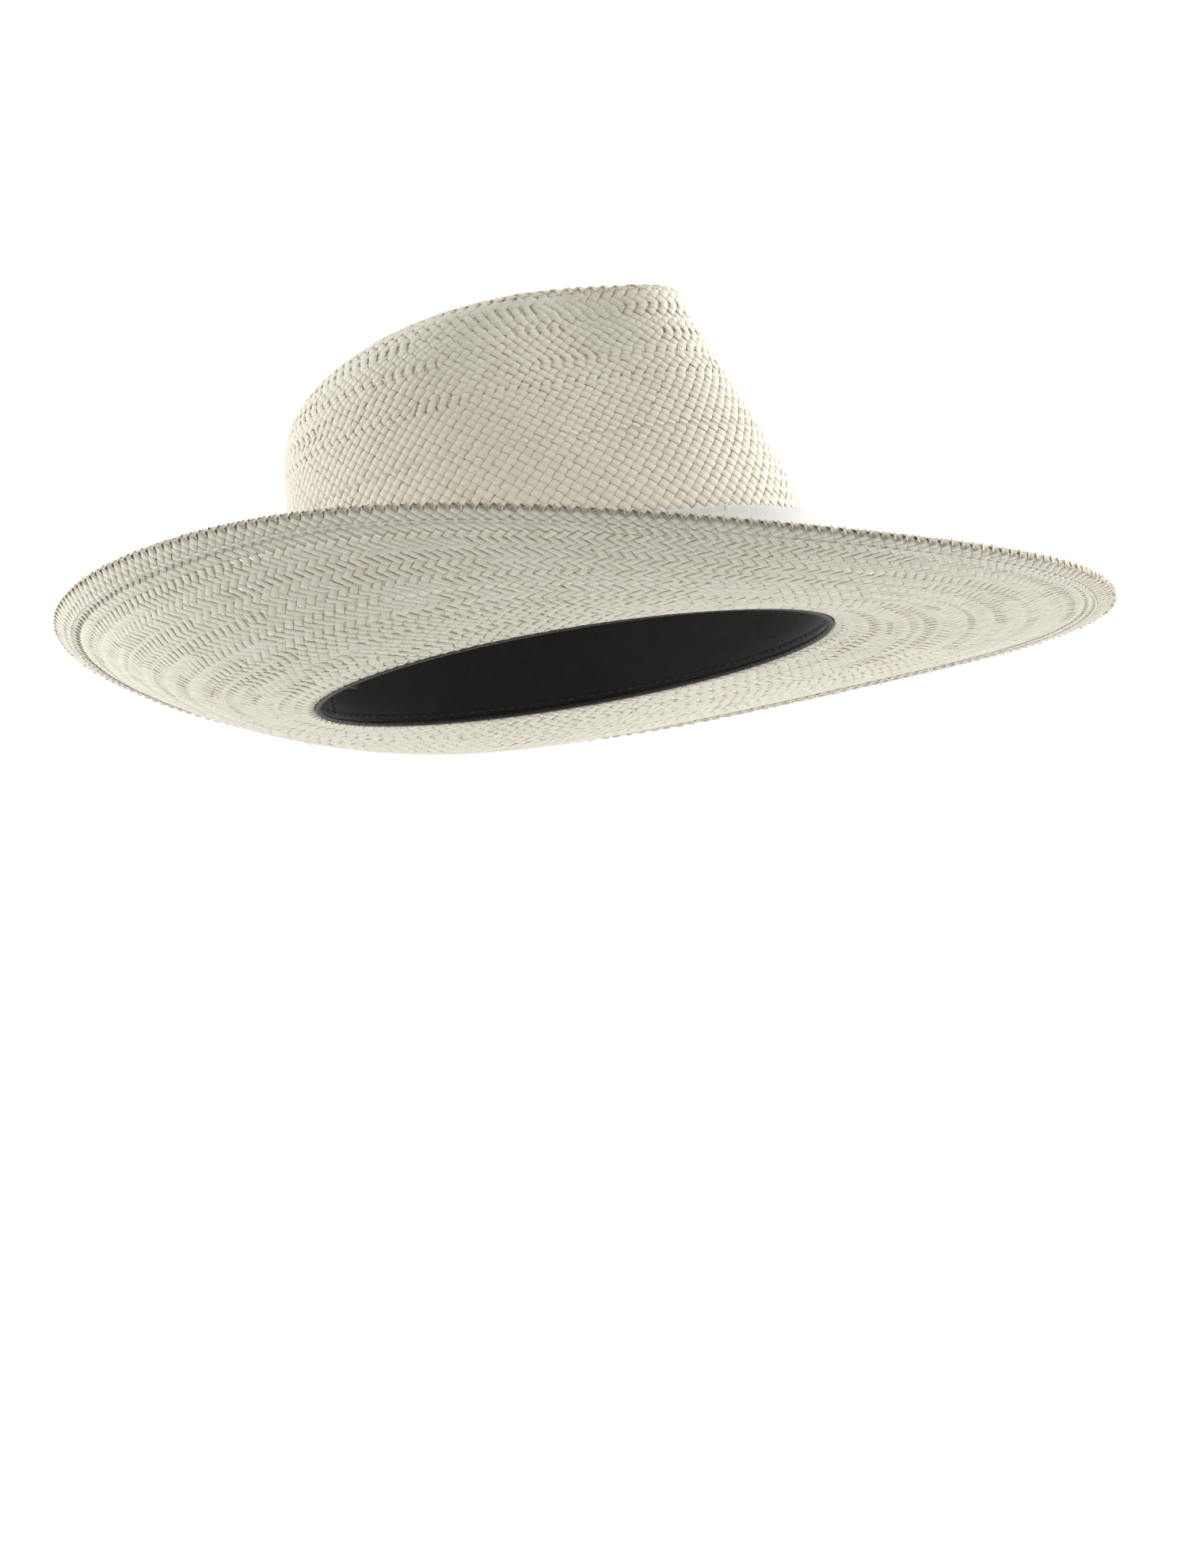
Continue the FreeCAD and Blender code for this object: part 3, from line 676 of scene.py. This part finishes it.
# ------------------------------------------------------------------ the woven pieces
HEM_END = float(cloth.s[-1]) - 0.6
ZONES = [("tip", weave.first, -140.0), ("crest", -140.0, -72.0), ("wall", -72.0, 2.0),
         ("brim", 2.0, 50.0), ("outer_brim", 50.0, 88.0), ("hem", 88.0, HEM_END)]


def make_straw():
    """The body of the hat, zone by zone, each with its rising and its falling straws."""
    pieces = []
    for way, side_name in ((1, "rising"), (-1, "falling")):
        for zone, soup in straw_family(way, ZONES).items():
            pieces.append(soup.build("straw_%s_%s" % (zone, side_name), STRAW, "straw"))
    return pieces


BUTTON_REACH = (10.8, 13.6)       # half-sizes of the patch in the middle of the tip
BUTTON_STRAWS = 9
BUTTON_PITCH = 3.1
BUTTON_DROP = 0.45                # it lies this far below the rest of the weave


def make_button():
    """The woven square the hat is begun with, in the middle of the tip."""
    soup = Soup()
    point, _ = cloth.at(np.full(8, weave.first), np.arange(8) / 8)
    middle = point.mean(0) - np.array([0, 0, BUTTON_DROP])
    spots = (np.arange(BUTTON_STRAWS) - (BUTTON_STRAWS - 1) / 2) * BUTTON_PITCH
    diagonal = math.sqrt(0.5)
    for way in (1, -1):
        run = np.array([diagonal, way * diagonal, 0])
        step = np.array([-way * diagonal, diagonal, 0])
        for i, spot in enumerate(spots):
            walk = np.arange(-14, 14.1, BUTTON_PITCH / 3)
            centre = middle + run * walk[:, None] + step * spot
            inside = (((centre[:, :2] - middle[:2]) / BUTTON_REACH) ** 2).sum(1) < 1
            if inside.sum() < 3:
                continue
            walk, centre = walk[inside], centre[inside]
            crossing = np.round(walk / BUTTON_PITCH) + i
            over = np.where(crossing % 2 == 0, 1, -1) * way
            centre = centre + np.array([0, 0, LIFT]) * over[:, None]
            flat = np.tile([0, 0, 1.0], (len(walk), 1))
            side = np.tile(step, (len(walk), 1))
            half = np.full(len(walk), BUTTON_PITCH / 2 * FILL)
            rings = tube_rings(centre, side, flat, half, np.full(len(walk), STRAND_HALF))
            soup.add_tube(rings, False, walk, RANDOM.normal(0, 0.5),
                          SECTION[:, 0][None, :] * half[:, None] + i * 17.3, GAP_SHADE_WEIGHT[None, :])
    return soup.build("straw_button", STRAW, "straw")


LOOSE_ENDS = 34


def make_loose_ends():
    """Fine split ends of straw that stand off the underside of the brim and its hem."""
    soup = Soup()
    for k in range(LOOSE_ENDS):
        near_hem = k % 3 != 0
        s0 = cloth.rim_s + HEM_WIDTH - 1.5 if near_hem else RANDOM.uniform(3, 60)
        x0 = RANDOM.uniform(0, 1)
        length = RANDOM.uniform(3.5, 9.0)
        walk = np.linspace(0, length, 9)
        point, normal = cloth.at(np.full(1, min(s0, HEM_END - 1)), np.full(1, x0))
        beside, _ = cloth.at(np.full(1, min(s0, HEM_END - 1)), np.full(1, x0 + 0.002))
        below = normal[0] * (1 if near_hem else -1)
        along = unit((beside - point)[0]) * RANDOM.choice([-1, 1])
        across = np.cross(along, below)
        lean = RANDOM.uniform(-0.5, 0.5)
        lift = 0.35 + walk / length * RANDOM.uniform(0.4, 1.8)
        centre = (point[0] + below * lift[:, None]
                  + (along + across * lean) * walk[:, None] * 0.9
                  + across * (RANDOM.uniform(-1, 1) * (walk / length) ** 2)[:, None])
        thin = 0.17 * (1 - 0.7 * walk / length)
        side = np.tile(across, (len(walk), 1))
        up = np.tile(below, (len(walk), 1))
        soup.add_tube(tube_rings(centre, side, up, thin, thin), False, walk, RANDOM.normal(0, 0.6),
                      SECTION[:, 0][None, :] * thin[:, None] + k * 5.1, GAP_SHADE_WEIGHT[None, :] * 0)
    return soup.build("straw_loose_ends", STRAW, "straw")


straw_pieces = make_straw() + [make_button(), make_loose_ends()]
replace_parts(straw_pieces[0], "straw_body")

# ------------------------------------------------------------------ threads
ROUND = np.array([(math.cos(TURN * k / 8), math.sin(TURN * k / 8)) for k in range(8)])


def add_thread(soup, path, up, radius, tone=0.0):
    """A round thread along a path, drawn in a little at its ends."""
    walk = np.concatenate([[0], np.cumsum(np.linalg.norm(np.diff(path, axis=0), axis=1))])
    forward = unit(np.gradient(path, axis=0))
    side = unit(np.cross(forward, up))
    rise = np.cross(side, forward)
    ends = 0.6 + 0.4 * np.minimum(1, np.minimum(walk, walk[-1] - walk) / (radius * 1.5))
    size = radius * ends
    soup.add_tube(tube_rings(path, side, rise, size, size, ROUND), False, walk, tone,
                  ROUND[:, 0][None, :] * size[:, None] + walk[-1], np.zeros((1, 8)))


STITCH_COUNT = 232
STITCH_LENGTH = 3.7
STITCH_WALK = np.array([-0.5, -0.47, -0.36, -0.15, 0.15, 0.36, 0.47, 0.5])
STITCH_LIFT = np.array([-0.9, 0.15, 0.8, 1.0, 1.0, 0.8, 0.15, -0.9])
NEEDLE_SEAM, BOBBIN_SEAM = BRIM_WIDTH - HEM_WIDTH, BRIM_WIDTH + HEM_WIDTH - 1.2


def make_hem_stitches(name, seam_s, lift):
    """A ring of single stitches; seam_s is their place along the straw."""
    soup = Soup()
    around = float(np.interp(seam_s, cloth.s, cloth.around))
    for k in range(STITCH_COUNT):
        share = (k + RANDOM.normal(0, 0.06)) / STITCH_COUNT
        reach = STITCH_LENGTH * (1 + RANDOM.normal(0, 0.05)) / around
        slant = RANDOM.normal(0, 0.10)
        s = seam_s + slant * STITCH_WALK + 0.12 * math.sin(k * 0.37)
        point, normal = cloth.at(s, share + STITCH_WALK * reach)
        path = point + normal * (STITCH_LIFT * lift)[:, None]
        add_thread(soup, path, normal, 0.33, RANDOM.normal(0, 0.3))
    return soup.build(name, THREAD, "thread")


STITCH_HEIGHT = LIFT + STRAND_HALF + 0.28
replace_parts(make_hem_stitches("hem_needle_stitches", NEEDLE_SEAM, STITCH_HEIGHT),
            "hem_needle_thread")
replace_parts(make_hem_stitches("hem_bobbin_stitches", BOBBIN_SEAM, STITCH_HEIGHT),
            "hem_bobbin_thread")


# ------------------------------------------------------------------ ribbon
def oval_path(count):
    """Points on the ribbon's outside, evenly walked, with outward directions and the walk."""
    middle, length = (RIBBON_BACK - RIBBON_FRONT) / 2, (RIBBON_BACK + RIBBON_FRONT) / 2
    fine = np.linspace(0, TURN, 4001)
    oval = np.stack([-RIBBON_HALF * np.sin(fine), middle - length * np.cos(fine)], -1)
    walked = np.concatenate([[0], np.cumsum(np.linalg.norm(np.diff(oval, axis=0), axis=1))])
    walk = np.arange(count) / count * walked[-1]
    turn = np.interp(walk, walked, fine)
    points = np.stack([-RIBBON_HALF * np.sin(turn), middle - length * np.cos(turn), 0 * turn], -1)
    outward = np.stack([-np.sin(turn) / RIBBON_HALF, -np.cos(turn) / length, 0 * turn], -1)
    return points, unit(outward), walk


def make_ribbon_band():
    """The grosgrain band: fine upright ribs between two corded edges."""
    length = (RIBBON_BACK + RIBBON_FRONT) / 2
    ribs = round(TURN * math.sqrt((RIBBON_HALF ** 2 + length ** 2) / 2) / RIB_PITCH)
    points, outward, walk = oval_path(ribs * 3)
    heights = np.array([0, 0.3, 0.8, 1.5, 5, 11, 17.5, 24, 30, 33.5, 34.2, 34.7, 35.0])
    relief = np.array([0, 0.3, 1, 1, 1, 1, 1, 1, 1, 1, 1, 0.3, 0])
    edge = np.array([-0.3, -0.05, 0.1, 0.02, 0, 0, 0, 0, 0, 0.02, 0.1, -0.05, -0.3])
    turn = walk / walk[-1] * TURN
    sway = 0.22 * np.sin(3 * turn + 1) + 0.12 * np.sin(7 * turn) + 0.08 * np.sin(13 * turn + 2)
    wave = -0.07 * (1 - np.cos(TURN * np.arange(len(walk)) / 3))
    outer_off = edge[None, :] + relief[None, :] * wave[:, None]
    top = (heights / RIBBON_HEIGHT)[None, :]
    z = RIBBON_LIFT + heights[None, :] + sway[:, None] * (0.35 + 0.65 * top)
    offsets = np.concatenate([outer_off, np.tile(-RIBBON_THICKNESS, (len(walk), 2))], 1)
    z = np.concatenate([z, z[:, -2:-1], z[:, 1:2]], 1)
    rings = points[:, None, :] + outward[:, None, :] * offsets[..., None]
    rings[..., 2] = z
    soup = Soup()
    soup.add_tube(rings, True, walk, 0.0, z, np.zeros((1, rings.shape[1])))
    band = soup.build("ribbon_grosgrain", RIBBON, "ribbon")
    return band


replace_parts(make_ribbon_band(), "ribbon_band")


def add_strip(soup, path, half_width, thickness, place, folds, closed=False):
    """A strip of ribbon: path is (n, 2) in reach and offset, its width runs the third way."""
    steps = np.linspace(-1, 1, 11)
    if closed:
        forward = unit(np.roll(path, -1, 0) - np.roll(path, 1, 0))
    else:
        forward = unit(np.gradient(path, axis=0))
    normal = np.stack([-forward[:, 1], forward[:, 0]], -1)
    walk = np.concatenate([[0], np.cumsum(np.linalg.norm(np.diff(path, axis=0), axis=1))])
    thick = thickness / 2 * (1 - 0.18 * (1 - np.cos(TURN * walk / RIB_PITCH)))
    width = steps[None, :] * half_width[:, None]
    shift = folds * np.cos(steps * math.pi * 2.5)[None, :]
    faces = []
    for face, order in ((1, slice(None)), (-1, slice(None, None, -1))):
        flat = path[:, None, :] + normal[:, None, :] * (thick * face)[:, None, None]
        lifted = flat + np.array([0, 1.0]) * shift[..., None]
        faces.append(place(lifted[..., 0], lifted[..., 1], width)[:, order])
    rings = np.concatenate(faces, 1)
    across = np.concatenate([width, width[:, ::-1]], 1)
    soup.add_tube(rings, closed, walk, 0.0, across, np.zeros((1, rings.shape[1])))
    return walk[-1]


def bow_path(half, near, far, pinch_near, pinch_far, spread):
    """Out along the far layer, round the fold and back along the near one."""
    radius = (far - near) / 2
    run = np.arange(0, half - radius, RIB_PITCH / 3)
    opened = smooth(run / spread)
    out = np.stack([run, pinch_far + (far - pinch_far) * opened], -1)
    bends = np.linspace(0, math.pi, 9)[1:-1]
    bend = np.stack([half - radius + radius * np.sin(bends),
                     near + radius + radius * np.cos(bends)], -1)
    back = np.stack([run, pinch_near + (near - pinch_near) * opened], -1)[::-1]
    return np.concatenate([out, bend, back]), len(run)


def add_bow_loop(soup, way, sizes, half_height, thickness, place, folds):
    path, count = bow_path(*sizes)
    opened = smooth(path[:, 0] / sizes[-1])
    height = half_height * (0.72 + 0.28 * opened)
    wave = folds * (1 - opened)[:, None] * (np.arange(len(path)) < count)[:, None]
    return add_strip(soup, path, height, thickness,
                     lambda reach, lift, rise: place(way * reach, lift, rise), wave)


def wrap_path(half_height, near, far):
    """A closed loop up the front of a knot and down behind it."""
    radius = (far - near) / 2
    straight = np.arange(-half_height + radius, half_height - radius, RIB_PITCH / 3)
    bends = np.linspace(0, math.pi, 7)[1:-1]
    top = np.stack([half_height - radius + radius * np.sin(bends),
                    near + radius + radius * np.cos(bends)], -1)
    front = np.stack([straight, np.full(len(straight), far)], -1)
    behind = np.stack([straight[::-1], np.full(len(straight), near)], -1)
    bottom = np.stack([-(half_height - radius + radius * np.sin(bends)),
                       near + radius - radius * np.cos(bends)], -1)
    return np.concatenate([front, top, behind, bottom])


def on_side(reach, lift, rise):
    """From the bow's own reach, lift and rise to the left side of the hat."""
    turn = reach / BOW_RADIUS
    out = BOW_RADIUS + lift
    return np.stack([RIBBON_HALF - BOW_RADIUS + out * np.cos(turn),
                     BOW_SHIFT + out * np.sin(turn),
                     RIBBON_LIFT + RIBBON_HEIGHT / 2 + rise], -1)


def make_ribbon_bow():
    soup = Soup()
    sizes = (BOW_LENGTH / 2, 0.4, 2.15, 1.1, 1.75, 13.0)
    walked = sum(add_bow_loop(soup, way, sizes, BOW_HEIGHT / 2, 0.5, on_side, 0.28)
                 for way in (1, -1))
    bow = soup.build("ribbon_bow_loops", RIBBON, "ribbon")
    return bow


def make_ribbon_knot():
    soup = Soup()
    path = wrap_path(KNOT_HEIGHT / 2, 0.42, 3.9)
    waist = 1 - 0.10 * np.exp(-(path[:, 0] / 8.0) ** 2)
    front = (path[:, 1] > 2.5)[:, None]
    walked = add_strip(soup, path, KNOT_WIDTH / 2 * waist, 0.5,
                       lambda rise, lift, reach: on_side(reach, lift, rise), 0.22 * front, True)
    knot = soup.build("ribbon_knot_wrap", RIBBON, "ribbon")
    return knot


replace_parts(make_ribbon_bow(), "ribbon_bow")
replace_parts(make_ribbon_knot(), "ribbon_knot")
TACK_COUNT = 6


def make_tacks():
    """Short stitches over the ribbon's upper edge."""
    middle, length = (RIBBON_BACK - RIBBON_FRONT) / 2, (RIBBON_BACK + RIBBON_FRONT) / 2
    soup = Soup()
    top = RIBBON_LIFT + RIBBON_HEIGHT
    for k in range(TACK_COUNT):
        turn = TURN * (k + 0.5) / TACK_COUNT
        spot = np.array([-RIBBON_HALF * math.sin(turn), middle - length * math.cos(turn), 0])
        out = unit(np.array([-math.sin(turn) / RIBBON_HALF, -math.cos(turn) / length, 0]))
        offsets = np.array([-0.25, 0.12, 0.22, 0.15, -0.15, -0.6])
        heights = top + np.array([-1.7, -1.5, -0.8, 0.15, 0.42, 0.5])
        path = spot + out * offsets[:, None] + np.array([0, 0, 1.0]) * heights[:, None]
        along = np.cross(out, np.array([0, 0, 1.0]))
        add_thread(soup, path, np.tile(out + np.array([0, 0, 0.4]), (6, 1)), 0.24)
        add_thread(soup, path + along * 0.55, np.tile(out + np.array([0, 0, 0.4]), (6, 1)), 0.24)
    return soup.build("ribbon_tack_stitches", THREAD, "thread")


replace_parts(make_tacks(), "ribbon_tacks")


# ------------------------------------------------------------------ sweatband
def wall_loops(heights, count):
    """Points on the middle of the crown's wall at some heights, and their outward directions."""
    s = np.linspace(-60, 0, 150)
    share = np.arange(count) / count
    grid, _ = cloth.at(np.tile(s[:, None], (1, count)), np.tile(share[None, :], (len(s), 1)))
    grid = grid[::-1]
    loops = np.empty((count, len(heights), 3))
    for k in range(count):
        rise = np.maximum.accumulate(grid[:, k, 2])
        for axis in (0, 1):
            loops[k, :, axis] = np.interp(heights, rise, grid[:, k, axis])
        loops[k, :, 2] = heights
    along = np.roll(loops, -1, 0) - np.roll(loops, 1, 0)
    outward = unit(np.stack([along[..., 1], -along[..., 0], 0 * along[..., 0]], -1))
    return loops, outward * np.sign((outward[0, 0] * loops[0, 0]).sum())


BAND_FACE = STRAW_HALF + BAND_GAP
REED_DEPTH, REED_HEIGHT = 1.8, 0.4


def add_wall_ring(soup, profile, count, relief=0.0):
    """A closed ring inside the crown whose section is a list of (height, depth)."""
    heights, depths = np.array(profile).T
    loops, outward = wall_loops(heights, count)
    depth = depths[None, :] - relief * (1 + np.cos(TURN * np.arange(count) / 4))[:, None]
    rings = loops - outward * depth[..., None]
    walk = np.concatenate([[0], np.cumsum(np.linalg.norm(np.diff(rings[:, 0], axis=0), axis=1))])
    around = np.concatenate([[0], np.cumsum(np.hypot(np.diff(heights), np.diff(depths)))])
    soup.add_tube(rings, True, walk, 0.0, around[None, :], np.zeros((1, len(profile))))


def make_sweatband():
    """The black band: a fine twilled face, a turned lower edge and a bound upper edge."""
    low = REED_DIAMETER / 2
    high = low + BAND_HEIGHT
    face, back = BAND_FACE + BAND_THICKNESS, BAND_FACE + 0.08
    profile = [(low, back + 0.3), (low + 0.1, face - 0.05), (low + 1.2, face + 0.02),
               (low + 2.4, face + 0.05), (low + 2.9, face - 0.14), (low + 3.4, face)]
    profile += [(low + h, face - 0.02) for h in (8, 14, 20, 26, 31)]
    profile += [(high - 2.6, face - 0.02), (high - 2.3, face + 0.12), (high - 0.5, face + 0.12),
                (high, face - 0.15), (high, back + 0.2), (high - 0.6, back), (low + 14, back)]
    soup = Soup()
    add_wall_ring(soup, profile, 2160, 0.025)
    band = soup.build("sweatband_cloth", BLACK, "sweatband")
    return band


def make_reed():
    """The covered cord along the sweatband's lower edge."""
    soup = Soup()
    turns = [TURN * k / 12 for k in range(12)]
    profile = [(REED_HEIGHT + 0.95 * math.cos(t), REED_DEPTH + 0.95 * math.sin(t)) for t in turns]
    add_wall_ring(soup, profile, 1296, 0.04)
    return soup.build("sweatband_piping", REED, "reed")


EDGE_STITCHES = 146


def make_edge_stitches():
    """Stitches through the turned edge of the sweatband, with a short tick over the piping."""
    soup = Soup()
    loops, outward = wall_loops(np.array([0.4, 3.0]), EDGE_STITCHES * 10)
    face = BAND_FACE + BAND_THICKNESS
    for k in range(EDGE_STITCHES):
        pick = (k * 10 + np.arange(7)) % len(loops)
        depth = face + np.array([-0.25, 0.16, 0.26, 0.28, 0.26, 0.16, -0.25])
        path = loops[pick, 1] - outward[pick, 1] * depth[:, None]
        add_thread(soup, path, -outward[pick, 1], 0.20)
        bends = np.linspace(-0.25, 0.85, 6) * math.pi
        spot, out = loops[k * 10, 0], outward[k * 10, 0]
        down = np.array([0, 0, -1.0])
        path = (spot - out * REED_DEPTH - out * 1.0 * np.sin(bends)[:, None]
                + down * 1.0 * np.cos(bends)[:, None])
        add_thread(soup, path, path - (spot - out * REED_DEPTH), 0.13)
    return soup.build("sweatband_edge_stitches", DARK_THREAD, "dark_thread")


def back_of_band(reach, lift, rise):
    """From the tape bow's own reach, lift and rise to the back of the sweatband's inner face."""
    loops, outward = wall_loops(np.array([TAPE_HEIGHT]), 64)
    face = loops[32, 0] - outward[32, 0] * (BAND_FACE + BAND_THICKNESS + 0.55)
    turn = reach / TAPE_RADIUS
    out = TAPE_RADIUS - lift
    return np.stack([out * np.sin(turn), face[1] - TAPE_RADIUS + out * np.cos(turn),
                     TAPE_HEIGHT + rise], -1)


TAPE_RADIUS, TAPE_HEIGHT, TAPE_LENGTH = 64.0, 18.5, 34.0


def make_tape_bow():
    soup = Soup()
    walked = sum(add_bow_loop(soup, way, (TAPE_LENGTH / 2, 0.25, 1.1, 0.5, 0.85, 5.0), 5.0, 0.25,
                              back_of_band, 0.1) for way in (1, -1))
    path = wrap_path(5.2, 0.2, 1.7)
    walked += add_strip(soup, path, np.full(len(path), 2.0), 0.25,
                        lambda rise, lift, reach: back_of_band(reach, lift, rise),
                        np.zeros((len(path), 1)), True) * 0.4
    bow = soup.build("sweatband_tape_bow", REED, "reed")
    return bow


def make_seam():
    """The zigzag that joins the ends of the sweatband at the back."""
    heights = np.arange(3.0, 31.0, 0.9)
    loops, outward = wall_loops(heights, 360)
    spots, out = loops[180], outward[180]
    sway = np.where(np.arange(len(heights)) % 2 == 0, 0.8, -0.8)
    path = spots - out * (BAND_FACE + BAND_THICKNESS + 0.12) + np.array([1.0, 0, 0]) * sway[:, None]
    soup = Soup()
    add_thread(soup, path, -out, 0.2)
    return soup.build("sweatband_back_seam", DARK_THREAD, "dark_thread")


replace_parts(make_sweatband(), "sweatband")
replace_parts(make_reed(), "sweatband_reed")
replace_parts(make_edge_stitches(), "sweatband_stitching")
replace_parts(make_seam(), "sweatband_seam")
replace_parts(make_tape_bow(), "sweatband_bow")

# ------------------------------------------------------------------ studio
AZIMUTH, ELEVATION, ROLL = math.radians(-66.163), math.radians(-9.56), math.radians(-8.162)
SHIFT_X, SHIFT_Y, DISTANCE = -7.229, 42.963, 3786.9
SENSOR, LENS = 36.0, 235.0387


def make_camera():
    back = Vector((math.sin(AZIMUTH) * math.cos(ELEVATION), -math.cos(AZIMUTH) * math.cos(ELEVATION),
                   math.sin(ELEVATION)))
    level = Vector((math.cos(AZIMUTH), math.sin(AZIMUTH), 0))
    rise = back.cross(level)
    right = level * math.cos(ROLL) + rise * math.sin(ROLL)
    up = rise * math.cos(ROLL) - level * math.sin(ROLL)
    data = bpy.data.cameras.new("studio_camera")
    data.sensor_width = SENSOR
    data.sensor_fit = "AUTO"
    data.lens = LENS
    data.clip_start, data.clip_end = 0.1, 100
    camera = bpy.data.objects.new("studio_camera", data)
    place = (back * DISTANCE - right * SHIFT_X - up * SHIFT_Y) * MM
    axes = Matrix((right, up, back)).transposed()
    camera.matrix_world = Matrix.Translation(place) @ axes.to_4x4()
    bpy.context.scene.collection.objects.link(camera)
    bpy.context.scene.camera = camera
    return back, right


def aim_light(name, place, target, size, power, colour):
    data = bpy.data.lights.new(name, "AREA")
    data.shape = "RECTANGLE"
    data.size, data.size_y = size
    data.energy = power
    data.color = colour
    lamp = bpy.data.objects.new(name, data)
    lamp.location = place
    lamp.rotation_mode = "QUATERNION"
    lamp.rotation_quaternion = (Vector(target) - Vector(place)).to_track_quat("-Z", "Y")
    bpy.context.scene.collection.objects.link(lamp)


LOW_LIGHT_Z = -0.40
SIDE_GLOW = (1.65, 3.3)       # how much brighter the world is to the left and to the right


def make_studio(back, right):
    world = bpy.data.worlds.new("studio")
    world.use_nodes = True
    nodes, links = world.node_tree.nodes, world.node_tree.links
    nodes.clear()
    output = nodes.new("ShaderNodeOutputWorld")
    ground = nodes.new("ShaderNodeBackground")
    links.new(ground.outputs[0], output.inputs[0])
    where = nodes.new("ShaderNodeTexCoord")
    parts = []
    for way, span, amounts in ((-back, (0.15, 0.93), (0.09, 0.82)),
                               (-back, (0.93, 0.985), (0.0, 0.22)),
                               (right, (0.40, 0.95), (0.0, SIDE_GLOW[1])),
                               (-right, (0.40, 0.95), (0.0, SIDE_GLOW[0])),
                               (Vector((0, 0, 1)), (0.50, 1.0), (0.0, 0.5))):
        toward = dot_node(nodes, links, where.outputs["Generated"], way)
        parts.append(glide(nodes, links, toward, span + amounts))
    total = parts[0]
    for part in parts[1:]:
        total = math_node(nodes, links, "ADD", total, part)
    ground.inputs["Color"].default_value = (1.0, 1.0, 1.0, 1)
    links.new(total, ground.inputs["Strength"])
    bpy.context.scene.world = world
    target = (0, 0, 0.05)
    left_place = (-right * 1.7 - back * 0.9) + Vector((0, 0, 0.9))
    right_place = (right * 1.8 - back * 0.5) + Vector((0, 0, 0.7))
    aim_light("soft_left", left_place, target, (1.2, 1.6), 10, (1.0, 0.99, 0.97))
    behind = Vector((-back.x, -back.y, 0)).normalized()
    low = Vector((0, 0, LOW_LIGHT_Z))
    for name, place, power in (("low_left", behind * 1.3 - right * 1.1 + low, 5.0),
                               ("low_right", behind * 1.0 + right * 1.4 + low, 10.0)):
        aim_light(name, place, target, (0.9, 0.7), power, (1.0, 0.995, 0.985))
    aim_light("soft_right", right_place, target, (1.2, 1.6), 8, (1.0, 0.99, 0.97))


FLOOR_Z = -0.80
FLOOR_SPREAD = (-0.45, 0.85, 0.04, 0.96)     # from the front of the hat to behind and beside it


def make_floor(back, right):
    """A wide floor well below the hat, pale behind and beside it and painted dark in front, as painted shade
    for the brim's underside.
    """
    rings, sides = 14, 96
    points, faces = [(0, 0, FLOOR_Z)], []
    for r in range(1, rings + 1):
        reach = 9.0 * (r / rings) ** 1.5
        height = FLOOR_Z + 0.5 * max(0.0, (reach - 7.0) / 2.0) ** 2
        for k in range(sides):
            a = TURN * k / sides
            points.append((reach * math.cos(a), reach * math.sin(a), height))
    for k in range(sides):
        faces.append((0, 1 + k, 1 + (k + 1) % sides))
        for r in range(rings - 1):
            a, b = 1 + r * sides, 1 + (r + 1) * sides
            faces.append((a + k, b + k, b + (k + 1) % sides, a + (k + 1) % sides))
    mesh = bpy.data.meshes.new("floor")
    mesh.from_pydata(points, [], faces)
    mesh.polygons.foreach_set("use_smooth", [True] * len(faces))
    floor = bpy.data.objects.new("floor", mesh)
    bpy.context.scene.collection.objects.link(floor)
    material, nodes, links, shader = new_material("studio_floor")
    where = nodes.new("ShaderNodeTexCoord")
    cloudy = noise(nodes, links, where.outputs["Object"], 2.0, 3)
    behind, beside = [dot_node(nodes, links, where.outputs["Object"],
                               Vector((way.x, way.y, 0)).normalized()) for way in (-back, right)]
    sideways = math_node(nodes, links, "ABSOLUTE", beside)
    total = math_node(nodes, links, "ADD", behind, sideways)
    floor_shade_and_mottle = math_node(nodes, links, "MULTIPLY_ADD", cloudy.outputs["Fac"], 0.05)
    # Painted shade: the floor is dark on the camera's side of the hat, so little light comes up to the
    # brim's underside; the noise adds a faint mottle.
    links.new(glide(nodes, links, total, FLOOR_SPREAD), floor_shade_and_mottle.node.inputs[2])
    body = ramp(nodes, [(0.0, (0.02, 0.02, 0.02)), (1.0, (0.98, 0.98, 0.975))])
    links.new(floor_shade_and_mottle, body.inputs[0])
    links.new(body.outputs[0], shader.inputs["Base Color"])
    shader.inputs["Roughness"].default_value = 0.8
    mesh.materials.append(material)


back_way, right_way = make_camera()
make_studio(back_way, right_way)
make_floor(back_way, right_way)
bpy.context.scene.view_settings.view_transform = "Standard"
